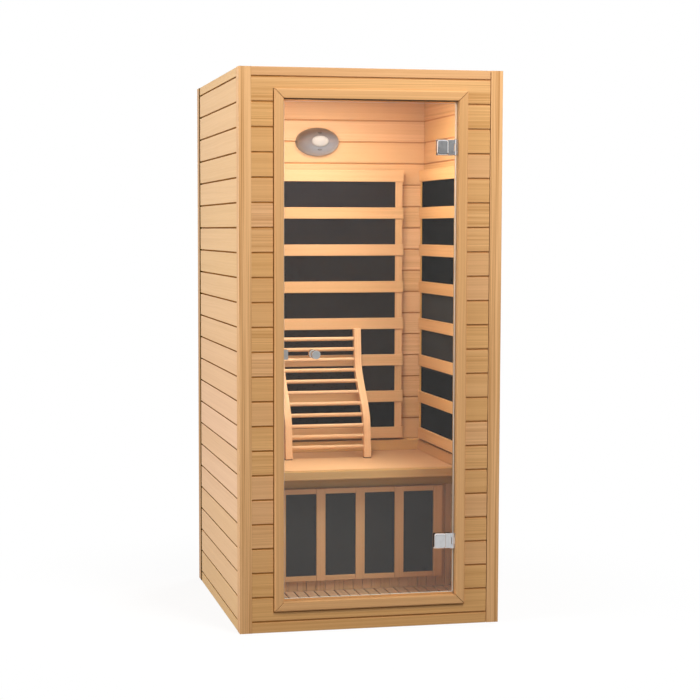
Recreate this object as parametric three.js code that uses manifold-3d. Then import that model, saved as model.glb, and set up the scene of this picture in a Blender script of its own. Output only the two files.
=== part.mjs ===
// Infrared sauna cabin for one person: a free-standing cabin of grooved softwood boards with an
// inset glass door, a bench, carbon heating panels behind slatted guards, a wall lamp and a loose
// curved backrest on the bench. Millimetres, +Z up. The origin is on the floor, in the middle of
// the cabin's footprint. The door is on the -Y side and its hinges are on the +X side.
import * as THREE from "three";
import { mergeVertices } from "three/addons/utils/BufferGeometryUtils.js";
import Module from "manifold-3d";

const wasm = await Module();
wasm.setup();

// Driving dimensions of the cabin
const CABIN_WIDTH = 914;
const CABIN_DEPTH = 948;
const CABIN_HEIGHT = 1905;
const FIT_GAP = 0.3;

// Cladding boards, which have the same seams on every wall, outside and inside
const BOARD_THICKNESS = 7;
const BOARD_PITCH = 83.4;
const TOP_BOARD_HEIGHT = 32;
const LEAST_BOTTOM_BOARD = 20;
const GROOVE_WIDTH = 5;
const GROOVE_DEPTH = 3.5;

// Wall frames, roof and floor
const POST_WIDTH = 42;
const FRONT_WALL_DEPTH = 47;
const BACK_FRAME_DEPTH = 60;
const SIDE_WALL_THICKNESS = 25;
const FRAME_RAIL_HEIGHT = 60;
const BATTEN_WIDTH = 45;
const BATTEN_COUNT = 3;
const DOOR_STUD_WIDTH = 40;
const ROOF_THICKNESS = 32;
const ROOF_SKIN = 6;
const FLOOR_HEIGHT = 30;
const FLOOR_BOARD_PITCH = 38;
const BEARER_WIDTH = 44;
const BEARER_COUNT = 3;

// Door opening, its mitred casing and the glass
const DOOR_CENTRE_X = -3;
const OPENING_WIDTH = 607;
const OPENING_BOTTOM = 104;
const OPENING_HEAD = 103;
const CASING_WIDTH = 32;
const CASING_PROUD = 10;
const CASING_CHAMFER = 4;
const LINING_THICKNESS = 10;
const MITRE_GAP = 0.3;
const GLASS_THICKNESS = 8;
const GLASS_SETBACK = 22;
const GLASS_SIDE_GAP = 4.5;
const GLASS_END_GAP = 8;
const GLASS_CORNER = 3;

// Glass hinges: a leaf on the door lining, a pin, and two plates that clamp the glass
const HINGE_HEIGHT = 54;
const HINGE_TOP_INSET = 149;
const HINGE_BOTTOM_INSET = 180;
const CLAMP_WIDTH = 62;
const CLAMP_THICKNESS = 7;
const CLAMP_CORNER = 4;
const CLAMP_BEVEL = 1.5;
const CLAMP_BOSS_RADIUS = 6;
const CLAMP_BOSS_SPACING = 30;
const KNUCKLE_RADIUS = 4;
const KNUCKLE_CLEARANCE = 0.6;
const LEAF_THICKNESS = 2.2;
const LEAF_DEPTH = 32;
const LEAF_KNUCKLE_SHARE = 24;
const PIN_RADIUS = 2;
const PIN_HEAD_RADIUS = 3.2;
const PIN_HEAD_HEIGHT = 2;

// Door knobs and the magnetic catch
const KNOB_HEIGHT = 946;
const KNOB_INSET = 105;
const KNOB_RADIUS = 15;
const KNOB_LENGTH = 17;
const KNOB_ROUND = 2.5;
const NECK_RADIUS = 7.5;
const NECK_LENGTH = 9;
const ROSETTE_RADIUS = 12;
const ROSETTE_THICKNESS = 3;
const STUD_RADIUS = 5;
const STUD_ENGAGEMENT = 14;
const CATCH_HEIGHT = 33;
const CATCH_WIDTH = 14;
const CATCH_SHEET = 1.5;
const MAGNET_DEPTH = 12;

// Bench and the board wall below it
const BENCH_HEIGHT = 498;
const BENCH_DEPTH = 537;
const BENCH_BOARD = 18;
const BENCH_APRON_HEIGHT = 33;
const BENCH_APRON_DEPTH = 30;
const BENCH_ROUND = 5;
const KICK_SETBACK = 140;
const KICK_THICKNESS = 10;
const KICK_BOARD_PITCH = 35.4;
const CLEAT_WIDTH = 28;
const CLEAT_HEIGHT = 34;

// Carbon heating panels and their slatted guards on the back and side walls
const HEATER_FACE = 27;
const HEATER_THICKNESS = 6;
const GUARD_SIDE_GAP = 92;
const GUARD_DROP = 309;
const GUARD_BENCH_GAP = 49.5;
const GUARD_SLAT_HEIGHT = 44;
const GUARD_SLAT_COUNT = 8;
const GUARD_DEPTH = 35;
const GUARD_SLAT_THICKNESS = 7.5;
const GUARD_STILE_WIDTH = 28;
const GUARD_STILE_INSET = 4;
const GUARD_STILE_SETBACK = 4;
const SIDE_GUARD_BACK_GAP = 53;
const SIDE_GUARD_FRONT_GAP = 101;
const SLAT_EASE = 1.5;

// Calf heater under the bench, behind upright slats
const CALF_BOTTOM = 72;
const CALF_TOP_GAP = 50;
const CALF_SIDE_GAP = 42.5;
const CALF_RAIL_HEIGHT = 19;
const CALF_SLAT_WIDTH = 34;
const CALF_SLAT_COUNT = 6;
const CALF_HEATER_THICKNESS = 14;
const CALF_GUARD_THICKNESS = 9;
const CALF_RAIL_SETBACK = 3;

// Oval wall lamp
const LAMP_DROP = 200;
const LAMP_WIDTH = 170;
const LAMP_OVAL_HEIGHT = 108;
const LAMP_DEPTH = 62;
const LAMP_SHELL = 2;
const LAMP_RIM = 6;
const LENS_OVAL_HEIGHT = 42;
const LENS_BULGE = 7;

// Power unit under the bench, with its mains inlet at the back, and the control panel indoors
const POWER_CENTRE_X = 210;
const POWER_CENTRE_Z = 210;
const POWER_WIDTH = 220;
const POWER_HEIGHT = 130;
const POWER_DEPTH = 62;
const INLET_WIDTH = 52;
const INLET_HEIGHT = 36;
const INLET_CORNER = 5;
const INLET_PROUD = 2;
const SOCKET_WIDTH = 30;
const SOCKET_HEIGHT = 21;
const SOCKET_DEPTH = 16;
const PANEL_WIDTH = 76;
const PANEL_HEIGHT = 132;
const PANEL_DEPTH = 14;
const PANEL_CENTRE_Z = 1330;
const PANEL_CORNER = 9;
const PANEL_BEVEL = 3;
const SCREEN_WIDTH = 54;
const SCREEN_HEIGHT = 36;
const SCREEN_RECESS = 1.5;
const SCREEN_DROP = 16;

// Loose backrest: two S-shaped rails joined by round dowels
const REST_WIDTH = 322;
const REST_HEIGHT = 484;
const REST_REACH = 222;
const REST_LEAN = 0.1;
const REST_BEND_START = 120;
const REST_BEND_END = 360;
const REST_RAIL_WIDTH = 20;
const REST_RAIL_DEPTH = 28;
const DOWEL_RADIUS = 7.5;
const DOWEL_COUNT = 11;
const DOWEL_PITCH = 40.1;
const FIRST_DOWEL_RISE = 46;
const DOWEL_SOCKET = 10;

// Facets
const ARC_STEPS = 4;
const ROUND_STEPS = 16;
const LAMP_STEPS = 28;
const DOME_STEPS = 6;
const REST_STEPS = 20;

// Planes that several pieces share
const SIDE_X = CABIN_WIDTH / 2;
const FRONT_Y = -CABIN_DEPTH / 2;
const BACK_Y = CABIN_DEPTH / 2;
const POST_INNER_X = SIDE_X - POST_WIDTH;
const ROOM_X = SIDE_X - SIDE_WALL_THICKNESS;
const ROOM_FRONT_Y = FRONT_Y + FRONT_WALL_DEPTH;
const BACK_FRAME_Y = BACK_Y - BACK_FRAME_DEPTH;
const ROOM_BACK_Y = BACK_FRAME_Y - FIT_GAP - BOARD_THICKNESS;
const CEILING_Z = CABIN_HEIGHT - ROOF_THICKNESS;
const OPENING_LEFT_X = DOOR_CENTRE_X - OPENING_WIDTH / 2;
const OPENING_RIGHT_X = DOOR_CENTRE_X + OPENING_WIDTH / 2;
const OPENING_TOP = CABIN_HEIGHT - OPENING_HEAD;
const CASING_FRONT_Y = FRONT_Y - CASING_PROUD;
const GLASS_FRONT_Y = CASING_FRONT_Y + GLASS_SETBACK;
const GLASS_BACK_Y = GLASS_FRONT_Y + GLASS_THICKNESS;
const GLASS_LEFT_X = OPENING_LEFT_X + GLASS_SIDE_GAP;
const GLASS_RIGHT_X = OPENING_RIGHT_X - GLASS_SIDE_GAP;
const GLASS_BOTTOM = OPENING_BOTTOM + GLASS_END_GAP;
const GLASS_TOP = OPENING_TOP - GLASS_END_GAP;
const LEAF_X = OPENING_RIGHT_X - FIT_GAP - LEAF_THICKNESS;
const PIVOT_X = LEAF_X - KNUCKLE_CLEARANCE - KNUCKLE_RADIUS;
const CLAMP_FRONT_Y = GLASS_FRONT_Y - FIT_GAP - CLAMP_THICKNESS;
const PIVOT_Y = CLAMP_FRONT_Y;
const CLAMP_RIGHT_X = PIVOT_X - KNUCKLE_RADIUS - KNUCKLE_CLEARANCE;
const KNOB_X = GLASS_LEFT_X + KNOB_INSET;
const BENCH_BOTTOM = BENCH_HEIGHT - BENCH_APRON_HEIGHT;
const BENCH_FRONT_Y = ROOM_BACK_Y - BENCH_DEPTH;
const KICK_FRONT_Y = BENCH_FRONT_Y + KICK_SETBACK;
const BACK_GUARD_WIDTH = 2 * (ROOM_X - GUARD_SIDE_GAP);
const SIDE_GUARD_FRONT_Y = ROOM_FRONT_Y + SIDE_GUARD_FRONT_GAP;
const SIDE_GUARD_BACK_Y = ROOM_BACK_Y - SIDE_GUARD_BACK_GAP;
const GUARD_TOP = CABIN_HEIGHT - GUARD_DROP;
const GUARD_BOTTOM = BENCH_HEIGHT + GUARD_BENCH_GAP;
const LAMP_HEIGHT = CABIN_HEIGHT - LAMP_DROP;
const REST_FOOT_Y = ROOM_BACK_Y - REST_REACH;
const HINGES = [
  ["upper", GLASS_TOP - HINGE_TOP_INSET],
  ["lower", GLASS_BOTTOM + HINGE_BOTTOM_INSET],
];

// Finishes
const finish = (color, roughness, metalness = 0) =>
  new THREE.MeshStandardMaterial({ color, roughness, metalness });
const OUTSIDE_WOOD = finish(0xdcb27c, 0.55);
const INSIDE_WOOD = finish(0xe3ab74, 0.55);
const BENCH_WOOD = finish(0xe0a974, 0.5);
const REST_WOOD = finish(0xefc594, 0.5);
const CARBON = finish(0x3b3a3c, 0.6);
const STEEL = finish(0xc9c9cc, 0.22, 1);
const NICKEL = finish(0xb9b2aa, 0.35, 1);
const OPAL = finish(0xfffbf2, 0.4);
const BLACK_PLASTIC = finish(0x1d1d1f, 0.45);
const GREY_METAL = finish(0x8d9093, 0.4, 0.8);
const GLASS = finish(0xd5e0da, 0.05);
GLASS.transparent = true;
GLASS.opacity = 0.25;

const cabin = new THREE.Group();
const door = new THREE.Group();
const backrest = new THREE.Group();
const sauna = new THREE.Group();
sauna.add(cabin, door, backrest);

// Turns a closed three.js geometry into a solid that can be joined and cut.
function solid(geometry) {
  const bare = geometry.index ? geometry.toNonIndexed() : geometry.clone();
  bare.deleteAttribute("normal");
  bare.deleteAttribute("uv");
  const merged = mergeVertices(bare, 1e-4);
  const mesh = new wasm.Mesh({
    numProp: 3,
    vertProperties: merged.attributes.position.array,
    triVerts: new Uint32Array(merged.index.array),
  });
  return new wasm.Manifold(mesh);
}

// Turns a joined or cut solid back into a three.js geometry.
function geometryOf(body) {
  const mesh = body.getMesh();
  const geometry = new THREE.BufferGeometry();
  geometry.setAttribute("position", new THREE.BufferAttribute(mesh.vertProperties, 3));
  geometry.setIndex(new THREE.BufferAttribute(mesh.triVerts, 1));
  geometry.computeVertexNormals();
  return geometry;
}

const join = (first, ...rest) => rest.reduce((body, other) => body.add(solid(other)), solid(first));

function addPiece(group, name, shape, material) {
  const geometry = shape.isBufferGeometry ? shape : geometryOf(shape);
  const mesh = new THREE.Mesh(geometry, material);
  mesh.name = name;
  group.add(mesh);
  return mesh;
}

const AXIS_X = new THREE.Vector3(1, 0, 0);
const AXIS_Y = new THREE.Vector3(0, 1, 0);
const AXIS_Z = new THREE.Vector3(0, 0, 1);

function extrude(outline, depth) {
  return new THREE.ExtrudeGeometry(outline, { depth, curveSegments: ARC_STEPS, bevelEnabled: false });
}

// An outline drawn in (Y, Z), run along X.
function alongX(outline, from, to) {
  const geometry = extrude(outline, to - from);
  geometry.applyMatrix4(new THREE.Matrix4().makeBasis(AXIS_Y, AXIS_Z, AXIS_X));
  return geometry.translate(from, 0, 0);
}

// An outline drawn in (X, Z), run along Y.
function alongY(outline, from, to) {
  const geometry = extrude(outline, to - from);
  geometry.applyMatrix4(new THREE.Matrix4().makeBasis(AXIS_X, AXIS_Z, AXIS_Y.clone().negate()));
  return geometry.translate(0, to, 0);
}

// An outline drawn in (X, Y), run along Z.
function alongZ(outline, from, to) {
  return extrude(outline, to - from).translate(0, 0, from);
}

function polygon(points) {
  return new THREE.Shape(points.map(([x, y]) => new THREE.Vector2(x, y)));
}

function rectangle(left, right, bottom, top) {
  return polygon([
    [left, bottom],
    [right, bottom],
    [right, top],
    [left, top],
  ]);
}

function roundedRectangle(left, right, bottom, top, radius) {
  const outline = new THREE.Shape();
  outline.absarc(right - radius, bottom + radius, radius, -Math.PI / 2, 0);
  outline.absarc(right - radius, top - radius, radius, 0, Math.PI / 2);
  outline.absarc(left + radius, top - radius, radius, Math.PI / 2, Math.PI);
  outline.absarc(left + radius, bottom + radius, radius, Math.PI, Math.PI * 1.5);
  return outline;
}

function block(x0, x1, y0, y1, z0, z1) {
  const geometry = new THREE.BoxGeometry(x1 - x0, y1 - y0, z1 - z0);
  return geometry.translate((x0 + x1) / 2, (y0 + y1) / 2, (z0 + z1) / 2);
}

// A round bar from one point along an axis.
function barX(radius, x0, x1, y, z) {
  const geometry = new THREE.CylinderGeometry(radius, radius, x1 - x0, ROUND_STEPS);
  return geometry.rotateZ(Math.PI / 2).translate((x0 + x1) / 2, y, z);
}

function barY(radius, y0, y1, x, z) {
  const geometry = new THREE.CylinderGeometry(radius, radius, y1 - y0, ROUND_STEPS);
  return geometry.translate(x, (y0 + y1) / 2, z);
}

function barZ(radius, z0, z1, x, y) {
  const geometry = new THREE.CylinderGeometry(radius, radius, z1 - z0, ROUND_STEPS);
  return geometry.rotateX(Math.PI / 2).translate(x, y, (z0 + z1) / 2);
}

// Grooved boards: the outline of a board wall in section, with a V groove at every seam.
function groovedSection(face, back, low, high, seams) {
  const inwards = Math.sign(back - face) * GROOVE_DEPTH;
  const points = [
    [back, low],
    [back, high],
    [face, high],
  ];
  for (const seam of seams) {
    if (seam - GROOVE_WIDTH <= low || seam + GROOVE_WIDTH >= high) continue;
    points.push([face, seam + GROOVE_WIDTH / 2]);
    points.push([face + inwards, seam]);
    points.push([face, seam - GROOVE_WIDTH / 2]);
  }
  points.push([face, low]);
  return polygon(points);
}

// The same section with its two directions exchanged, for boards that lie flat or stand upright.
function turnedOver(section) {
  return polygon(section.getPoints().map((point) => [point.y, point.x]));
}

// Seams from the top down, one board apart.
function seamsBelow(top, pitch, lowest) {
  const seams = [];
  for (let seam = top; seam > lowest; seam -= pitch) seams.push(seam);
  return seams;
}

const WALL_SEAMS = seamsBelow(CABIN_HEIGHT - TOP_BOARD_HEIGHT, BOARD_PITCH, LEAST_BOTTOM_BOARD);

// Seams of upright or floor boards, spread evenly about the cabin's middle.
function seamsAcross(halfWidth, pitch) {
  const half = Math.floor(halfWidth / pitch - 0.5);
  return Array.from({ length: 2 * half + 2 }, (_, i) => (half + 0.5 - i) * pitch);
}

// The hole that the casing's lining fills in the front wall.
const ROUGH_LEFT_X = OPENING_LEFT_X - LINING_THICKNESS - FIT_GAP;
const ROUGH_RIGHT_X = OPENING_RIGHT_X + LINING_THICKNESS + FIT_GAP;
const ROUGH_BOTTOM = OPENING_BOTTOM - LINING_THICKNESS - FIT_GAP;
const ROUGH_TOP = OPENING_TOP + LINING_THICKNESS + FIT_GAP;
const FRONT_BOARD_BACK_Y = FRONT_Y + BOARD_THICKNESS;
const FRONT_INNER_Y = ROOM_FRONT_Y - BOARD_THICKNESS;

function roughOpening() {
  const passage = CABIN_DEPTH / 4;
  return solid(
    block(ROUGH_LEFT_X, ROUGH_RIGHT_X, FRONT_Y - passage, FRONT_Y + passage, ROUGH_BOTTOM, ROUGH_TOP),
  );
}

// Front wall: corner posts and door studs in one frame, boards outside and inside
function frontWall() {
  const railFront = FRONT_BOARD_BACK_Y + FIT_GAP;
  const railBack = FRONT_INNER_Y - FIT_GAP;
  const beam = (x0, x1, z0, z1) => block(x0, x1, railFront, railBack, z0, z1);
  const post = (x0, x1) => block(x0, x1, FRONT_Y, ROOM_FRONT_Y, 0, CABIN_HEIGHT);
  const inPost = POST_INNER_X + POST_WIDTH / 2;
  const frame = join(
    post(-SIDE_X, -POST_INNER_X),
    post(POST_INNER_X, SIDE_X),
    beam(-inPost, inPost, ROUGH_TOP, CABIN_HEIGHT),
    beam(-inPost, inPost, 0, ROUGH_BOTTOM),
    beam(ROUGH_LEFT_X - DOOR_STUD_WIDTH, ROUGH_LEFT_X, 0, CABIN_HEIGHT),
    beam(ROUGH_RIGHT_X, ROUGH_RIGHT_X + DOOR_STUD_WIDTH, 0, CABIN_HEIGHT),
  );
  addPiece(cabin, "front_frame", frame, OUTSIDE_WOOD);

  const end = POST_INNER_X - FIT_GAP;
  const outside = groovedSection(FRONT_Y, FRONT_BOARD_BACK_Y, 0, CABIN_HEIGHT, WALL_SEAMS);
  const outsideBoards = solid(alongX(outside, -end, end)).subtract(roughOpening());
  addPiece(cabin, "front_outer_boards", outsideBoards, OUTSIDE_WOOD);

  const inside = groovedSection(ROOM_FRONT_Y, FRONT_INNER_Y, 0, CABIN_HEIGHT, WALL_SEAMS);
  const insideBoards = solid(alongX(inside, -end, end)).subtract(roughOpening());
  addPiece(cabin, "front_inner_boards", insideBoards, INSIDE_WOOD);
}

// Back wall: frame with corner posts, boards outside and inside, a hole for the mains inlet
function backWall() {
  const railBack = BACK_Y - BOARD_THICKNESS - FIT_GAP;
  const inPost = POST_INNER_X + POST_WIDTH / 2;
  const rail = (z0, z1) => block(-inPost, inPost, BACK_FRAME_Y, railBack, z0, z1);
  const post = (x0, x1) => block(x0, x1, BACK_FRAME_Y, BACK_Y, 0, CABIN_HEIGHT);
  const frame = join(
    post(-SIDE_X, -POST_INNER_X),
    post(POST_INNER_X, SIDE_X),
    rail(0, FRAME_RAIL_HEIGHT),
    rail(BENCH_HEIGHT - FRAME_RAIL_HEIGHT, BENCH_HEIGHT),
    rail(CABIN_HEIGHT - FRAME_RAIL_HEIGHT, CABIN_HEIGHT),
  );
  addPiece(cabin, "back_frame", frame, OUTSIDE_WOOD);

  const hole = solid(inletBar(FIT_GAP, ROOM_BACK_Y - BACK_FRAME_DEPTH, BACK_Y + BACK_FRAME_DEPTH));
  const end = POST_INNER_X - FIT_GAP;
  const outside = groovedSection(BACK_Y, BACK_Y - BOARD_THICKNESS, 0, CABIN_HEIGHT, WALL_SEAMS);
  const outsideBoards = solid(alongX(outside, -end, end)).subtract(hole);
  addPiece(cabin, "back_outer_boards", outsideBoards, OUTSIDE_WOOD);

  const roomEnd = ROOM_X - FIT_GAP;
  const insideTop = CEILING_Z - FIT_GAP;
  const inside = groovedSection(ROOM_BACK_Y, BACK_FRAME_Y - FIT_GAP, 0, insideTop, WALL_SEAMS);
  const insideBoards = solid(alongX(inside, -roomEnd, roomEnd)).subtract(hole);
  addPiece(cabin, "back_inner_boards", insideBoards, INSIDE_WOOD);
}

// Side walls: outside boards with their battens, and inside boards
function sideWall(name, side) {
  const y0 = ROOM_FRONT_Y + FIT_GAP;
  const y1 = BACK_FRAME_Y - FIT_GAP;
  const skinX = SIDE_X - BOARD_THICKNESS;
  const innerBackX = ROOM_X + BOARD_THICKNESS;
  const outline = groovedSection(side * SIDE_X, side * skinX, 0, CABIN_HEIGHT, WALL_SEAMS);
  const battenX = [side * (innerBackX + FIT_GAP), side * (skinX + GROOVE_DEPTH)].sort((a, b) => a - b);
  const step = (y1 - y0 - BATTEN_WIDTH) / (BATTEN_COUNT - 1);
  const battens = Array.from({ length: BATTEN_COUNT }, (_, i) => {
    const start = y0 + i * step;
    return block(...battenX, start, start + BATTEN_WIDTH, 0, CABIN_HEIGHT - ROOF_THICKNESS);
  });
  addPiece(cabin, name + "_outer_boards", join(alongY(outline, y0, y1), ...battens), OUTSIDE_WOOD);

  const insideTop = CEILING_Z - FIT_GAP;
  const inside = groovedSection(side * ROOM_X, side * innerBackX, 0, insideTop, WALL_SEAMS);
  addPiece(cabin, name + "_inner_boards", alongY(inside, y0, y1), INSIDE_WOOD);
}

// Roof: a boarded ceiling under a shallow tray with a rim and a middle rib
function roof() {
  const x = SIDE_X - BOARD_THICKNESS - FIT_GAP;
  const y0 = ROOM_FRONT_Y + FIT_GAP;
  const y1 = BACK_FRAME_Y - FIT_GAP;
  const ceilingTop = CEILING_Z + BOARD_THICKNESS;
  const seams = seamsAcross(x, BOARD_PITCH);
  const section = turnedOver(groovedSection(CEILING_Z, ceilingTop, -x, x, seams));
  addPiece(cabin, "ceiling_boards", alongY(section, y0, y1), INSIDE_WOOD);

  const low = ceilingTop + FIT_GAP;
  const skinLow = CABIN_HEIGHT - ROOF_SKIN;
  const tray = solid(block(-x, x, y0, y1, low, CABIN_HEIGHT));
  const cell = (x0, x1) => {
    const inner = [y0 + BATTEN_WIDTH, y1 - BATTEN_WIDTH];
    return solid(block(x0, x1, ...inner, low - ROOF_THICKNESS, skinLow));
  };
  const rib = BATTEN_WIDTH / 2;
  const hollow = tray.subtract(cell(-x + BATTEN_WIDTH, -rib)).subtract(cell(rib, x - BATTEN_WIDTH));
  addPiece(cabin, "roof_cover", hollow, OUTSIDE_WOOD);
}

// Floor: bearers on the ground and boards that run from front to back
function floor() {
  const x = ROOM_X - FIT_GAP;
  const y0 = ROOM_FRONT_Y + FIT_GAP;
  const y1 = ROOM_BACK_Y - FIT_GAP;
  const boardLow = FLOOR_HEIGHT - BOARD_THICKNESS;
  const bearerTop = boardLow - FIT_GAP;
  const step = (2 * x - BEARER_WIDTH) / (BEARER_COUNT - 1);
  const bearers = Array.from({ length: BEARER_COUNT }, (_, i) => {
    const start = -x + i * step;
    return block(start, start + BEARER_WIDTH, y0, y1, 0, bearerTop);
  });
  const ends = [
    block(-x, x, y0, y0 + BEARER_WIDTH, 0, bearerTop),
    block(-x, x, y1 - BEARER_WIDTH, y1, 0, bearerTop),
  ];
  addPiece(cabin, "floor_frame", join(...bearers, ...ends), INSIDE_WOOD);

  const section = turnedOver(
    groovedSection(FLOOR_HEIGHT, boardLow, -x, x, seamsAcross(x, FLOOR_BOARD_PITCH)),
  );
  addPiece(cabin, "floor_boards", alongY(section, y0, y1), INSIDE_WOOD);
}

// Door casing: four members with a proud chamfered face and a lining, mitred at the corners
function doorCasing() {
  const w = CASING_WIDTH;
  const faceBack = FRONT_Y - FIT_GAP;
  // The section runs outwards from the opening (across) and back from the front face (Y).
  const section = [
    [0, CASING_FRONT_Y],
    [0, ROOM_FRONT_Y],
    [LINING_THICKNESS, ROOM_FRONT_Y],
    [LINING_THICKNESS, faceBack],
    [w, faceBack],
    [w, CASING_FRONT_Y + CASING_CHAMFER],
    [w - CASING_CHAMFER, CASING_FRONT_Y],
  ];
  const left = OPENING_LEFT_X;
  const right = OPENING_RIGHT_X;
  const low = OPENING_BOTTOM;
  const high = OPENING_TOP;
  const upright = (from, sign) =>
    alongZ(polygon(section.map(([across, y]) => [from + sign * across, y])), low - w, high + w);
  const level = (from, sign) =>
    alongX(polygon(section.map(([across, y]) => [y, from + sign * across])), left - w, right + w);
  const g = MITRE_GAP / 2;
  const mitred = (name, bar, corners) => {
    const wedge = alongY(polygon(corners), CASING_FRONT_Y - w, ROOM_FRONT_Y + w);
    addPiece(cabin, name, solid(bar).intersect(solid(wedge)), OUTSIDE_WOOD);
  };
  // Each wedge is the member's own trapezium, a mitre gap short at both ends.
  const ends = (a, b) => [a + g * Math.SQRT2, b - g * Math.SQRT2];
  const [tx0, tx1] = ends(left - w, right + w);
  const [ix0, ix1] = ends(left, right);
  mitred("casing_top", level(high, 1), [[ix0, high], [ix1, high], [tx1, high + w], [tx0, high + w]]);
  mitred("casing_bottom", level(low, -1), [[tx0, low - w], [tx1, low - w], [ix1, low], [ix0, low]]);
  const [tz0, tz1] = ends(low - w, high + w);
  const [iz0, iz1] = ends(low, high);
  mitred("casing_left", upright(left, -1), [[left - w, tz0], [left, iz0], [left, iz1], [left - w, tz1]]);
  mitred("casing_right", upright(right, 1), [[right, iz0], [right + w, tz0], [right + w, tz1], [right, iz1]]);
}

// Bench: a board with a deep rounded front edge, on cleats, and the upright boards below it
function bench() {
  const x = ROOM_X - FIT_GAP;
  const back = ROOM_BACK_Y - FIT_GAP;
  const boardLow = BENCH_HEIGHT - BENCH_BOARD;
  const apronBack = BENCH_FRONT_Y + BENCH_APRON_DEPTH;
  const roundY = BENCH_FRONT_Y + BENCH_ROUND;
  const outline = new THREE.Shape();
  outline.moveTo(apronBack, boardLow);
  outline.lineTo(back, boardLow);
  outline.lineTo(back, BENCH_HEIGHT);
  outline.absarc(roundY, BENCH_HEIGHT - BENCH_ROUND, BENCH_ROUND, Math.PI / 2, Math.PI);
  outline.absarc(roundY, BENCH_BOTTOM + BENCH_ROUND, BENCH_ROUND, Math.PI, Math.PI * 1.5);
  outline.lineTo(apronBack, BENCH_BOTTOM);
  addPiece(cabin, "bench_top", alongX(outline, -x, x), BENCH_WOOD);

  const top = boardLow - FIT_GAP;
  const kickBack = KICK_FRONT_Y + KICK_THICKNESS;
  const section = turnedOver(
    groovedSection(KICK_FRONT_Y, kickBack, -x, x, seamsAcross(x, KICK_BOARD_PITCH)),
  );
  addPiece(cabin, "bench_front_boards", alongZ(section, FLOOR_HEIGHT + FIT_GAP, top), INSIDE_WOOD);

  const cleat = rectangle(kickBack + FIT_GAP, back, top - CLEAT_HEIGHT, top);
  addPiece(cabin, "bench_cleat_left", alongX(cleat, -x, -x + CLEAT_WIDTH), BENCH_WOOD);
  addPiece(cabin, "bench_cleat_right", alongX(cleat, x - CLEAT_WIDTH, x), BENCH_WOOD);
}

// A flat slat in section, with its two front edges eased. The front is at the low first number.
function easedSection(front, back, low, high) {
  return polygon([
    [back, low],
    [back, high],
    [front + SLAT_EASE, high],
    [front, high - SLAT_EASE],
    [front, low + SLAT_EASE],
    [front + SLAT_EASE, low],
  ]);
}

// Wall heater: a carbon panel and the slatted guard over it. Drawn on a wall plane at Y = 0 that
// faces -Y, and turned onto its own wall.
function wallHeater(name, width, place, turn) {
  const mount = new THREE.Group();
  mount.position.copy(place);
  mount.rotation.z = turn;
  cabin.add(mount);

  const half = width / 2;
  const stileOuter = half - GUARD_STILE_INSET;
  const stileInner = stileOuter - GUARD_STILE_WIDTH;
  const panelX = stileInner - FIT_GAP;
  const margin = GUARD_SLAT_HEIGHT / 8;
  const panel = roundedRectangle(-panelX, panelX, GUARD_BOTTOM + margin, GUARD_TOP - margin, margin);
  addPiece(mount, name + "_heater", alongY(panel, -HEATER_FACE, HEATER_THICKNESS - HEATER_FACE), CARBON);

  const stile = (x0, x1) =>
    block(x0, x1, GUARD_STILE_SETBACK - GUARD_DEPTH, -FIT_GAP, GUARD_BOTTOM + margin, GUARD_TOP - margin);
  const pitch = (GUARD_TOP - GUARD_BOTTOM - GUARD_SLAT_HEIGHT) / (GUARD_SLAT_COUNT - 1);
  const slats = Array.from({ length: GUARD_SLAT_COUNT }, (_, i) => {
    const top = GUARD_TOP - i * pitch;
    const slatBack = GUARD_SLAT_THICKNESS - GUARD_DEPTH;
    return alongX(easedSection(-GUARD_DEPTH, slatBack, top - GUARD_SLAT_HEIGHT, top), -half, half);
  });
  const guard = join(stile(-stileOuter, -stileInner), stile(stileInner, stileOuter), ...slats);
  addPiece(mount, name + "_heater_guard", guard, INSIDE_WOOD);
}

// Calf heater on the boards under the bench, behind upright slats
function calfHeater() {
  const heaterBack = KICK_FRONT_Y - FIT_GAP;
  const heaterFront = heaterBack - CALF_HEATER_THICKNESS;
  const guardBack = heaterFront - FIT_GAP;
  const guardFront = guardBack - CALF_GUARD_THICKNESS;
  const top = BENCH_BOTTOM - CALF_TOP_GAP;
  const half = ROOM_X - CALF_SIDE_GAP;
  const pitch = (2 * half - CALF_SLAT_WIDTH) / (CALF_SLAT_COUNT - 1);
  const inset = CALF_RAIL_HEIGHT / 2;
  const panel = roundedRectangle(-half + inset, half - inset, CALF_BOTTOM + inset, top - inset, inset / 2);
  addPiece(cabin, "calf_heater", alongY(panel, heaterFront, heaterBack), CARBON);

  const railFront = guardFront + CALF_RAIL_SETBACK;
  const rail = (z0, z1) => block(-half + FIT_GAP, half - FIT_GAP, railFront, guardBack, z0, z1);
  const slats = Array.from({ length: CALF_SLAT_COUNT }, (_, i) => {
    const left = -half + i * pitch;
    const section = easedSection(guardFront, guardBack - FIT_GAP, left, left + CALF_SLAT_WIDTH);
    return alongZ(turnedOver(section), CALF_BOTTOM, top);
  });
  const rails = [rail(CALF_BOTTOM, CALF_BOTTOM + CALF_RAIL_HEIGHT), rail(top - CALF_RAIL_HEIGHT, top)];
  addPiece(cabin, "calf_heater_guard", join(...slats, ...rails), INSIDE_WOOD);
}

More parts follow.
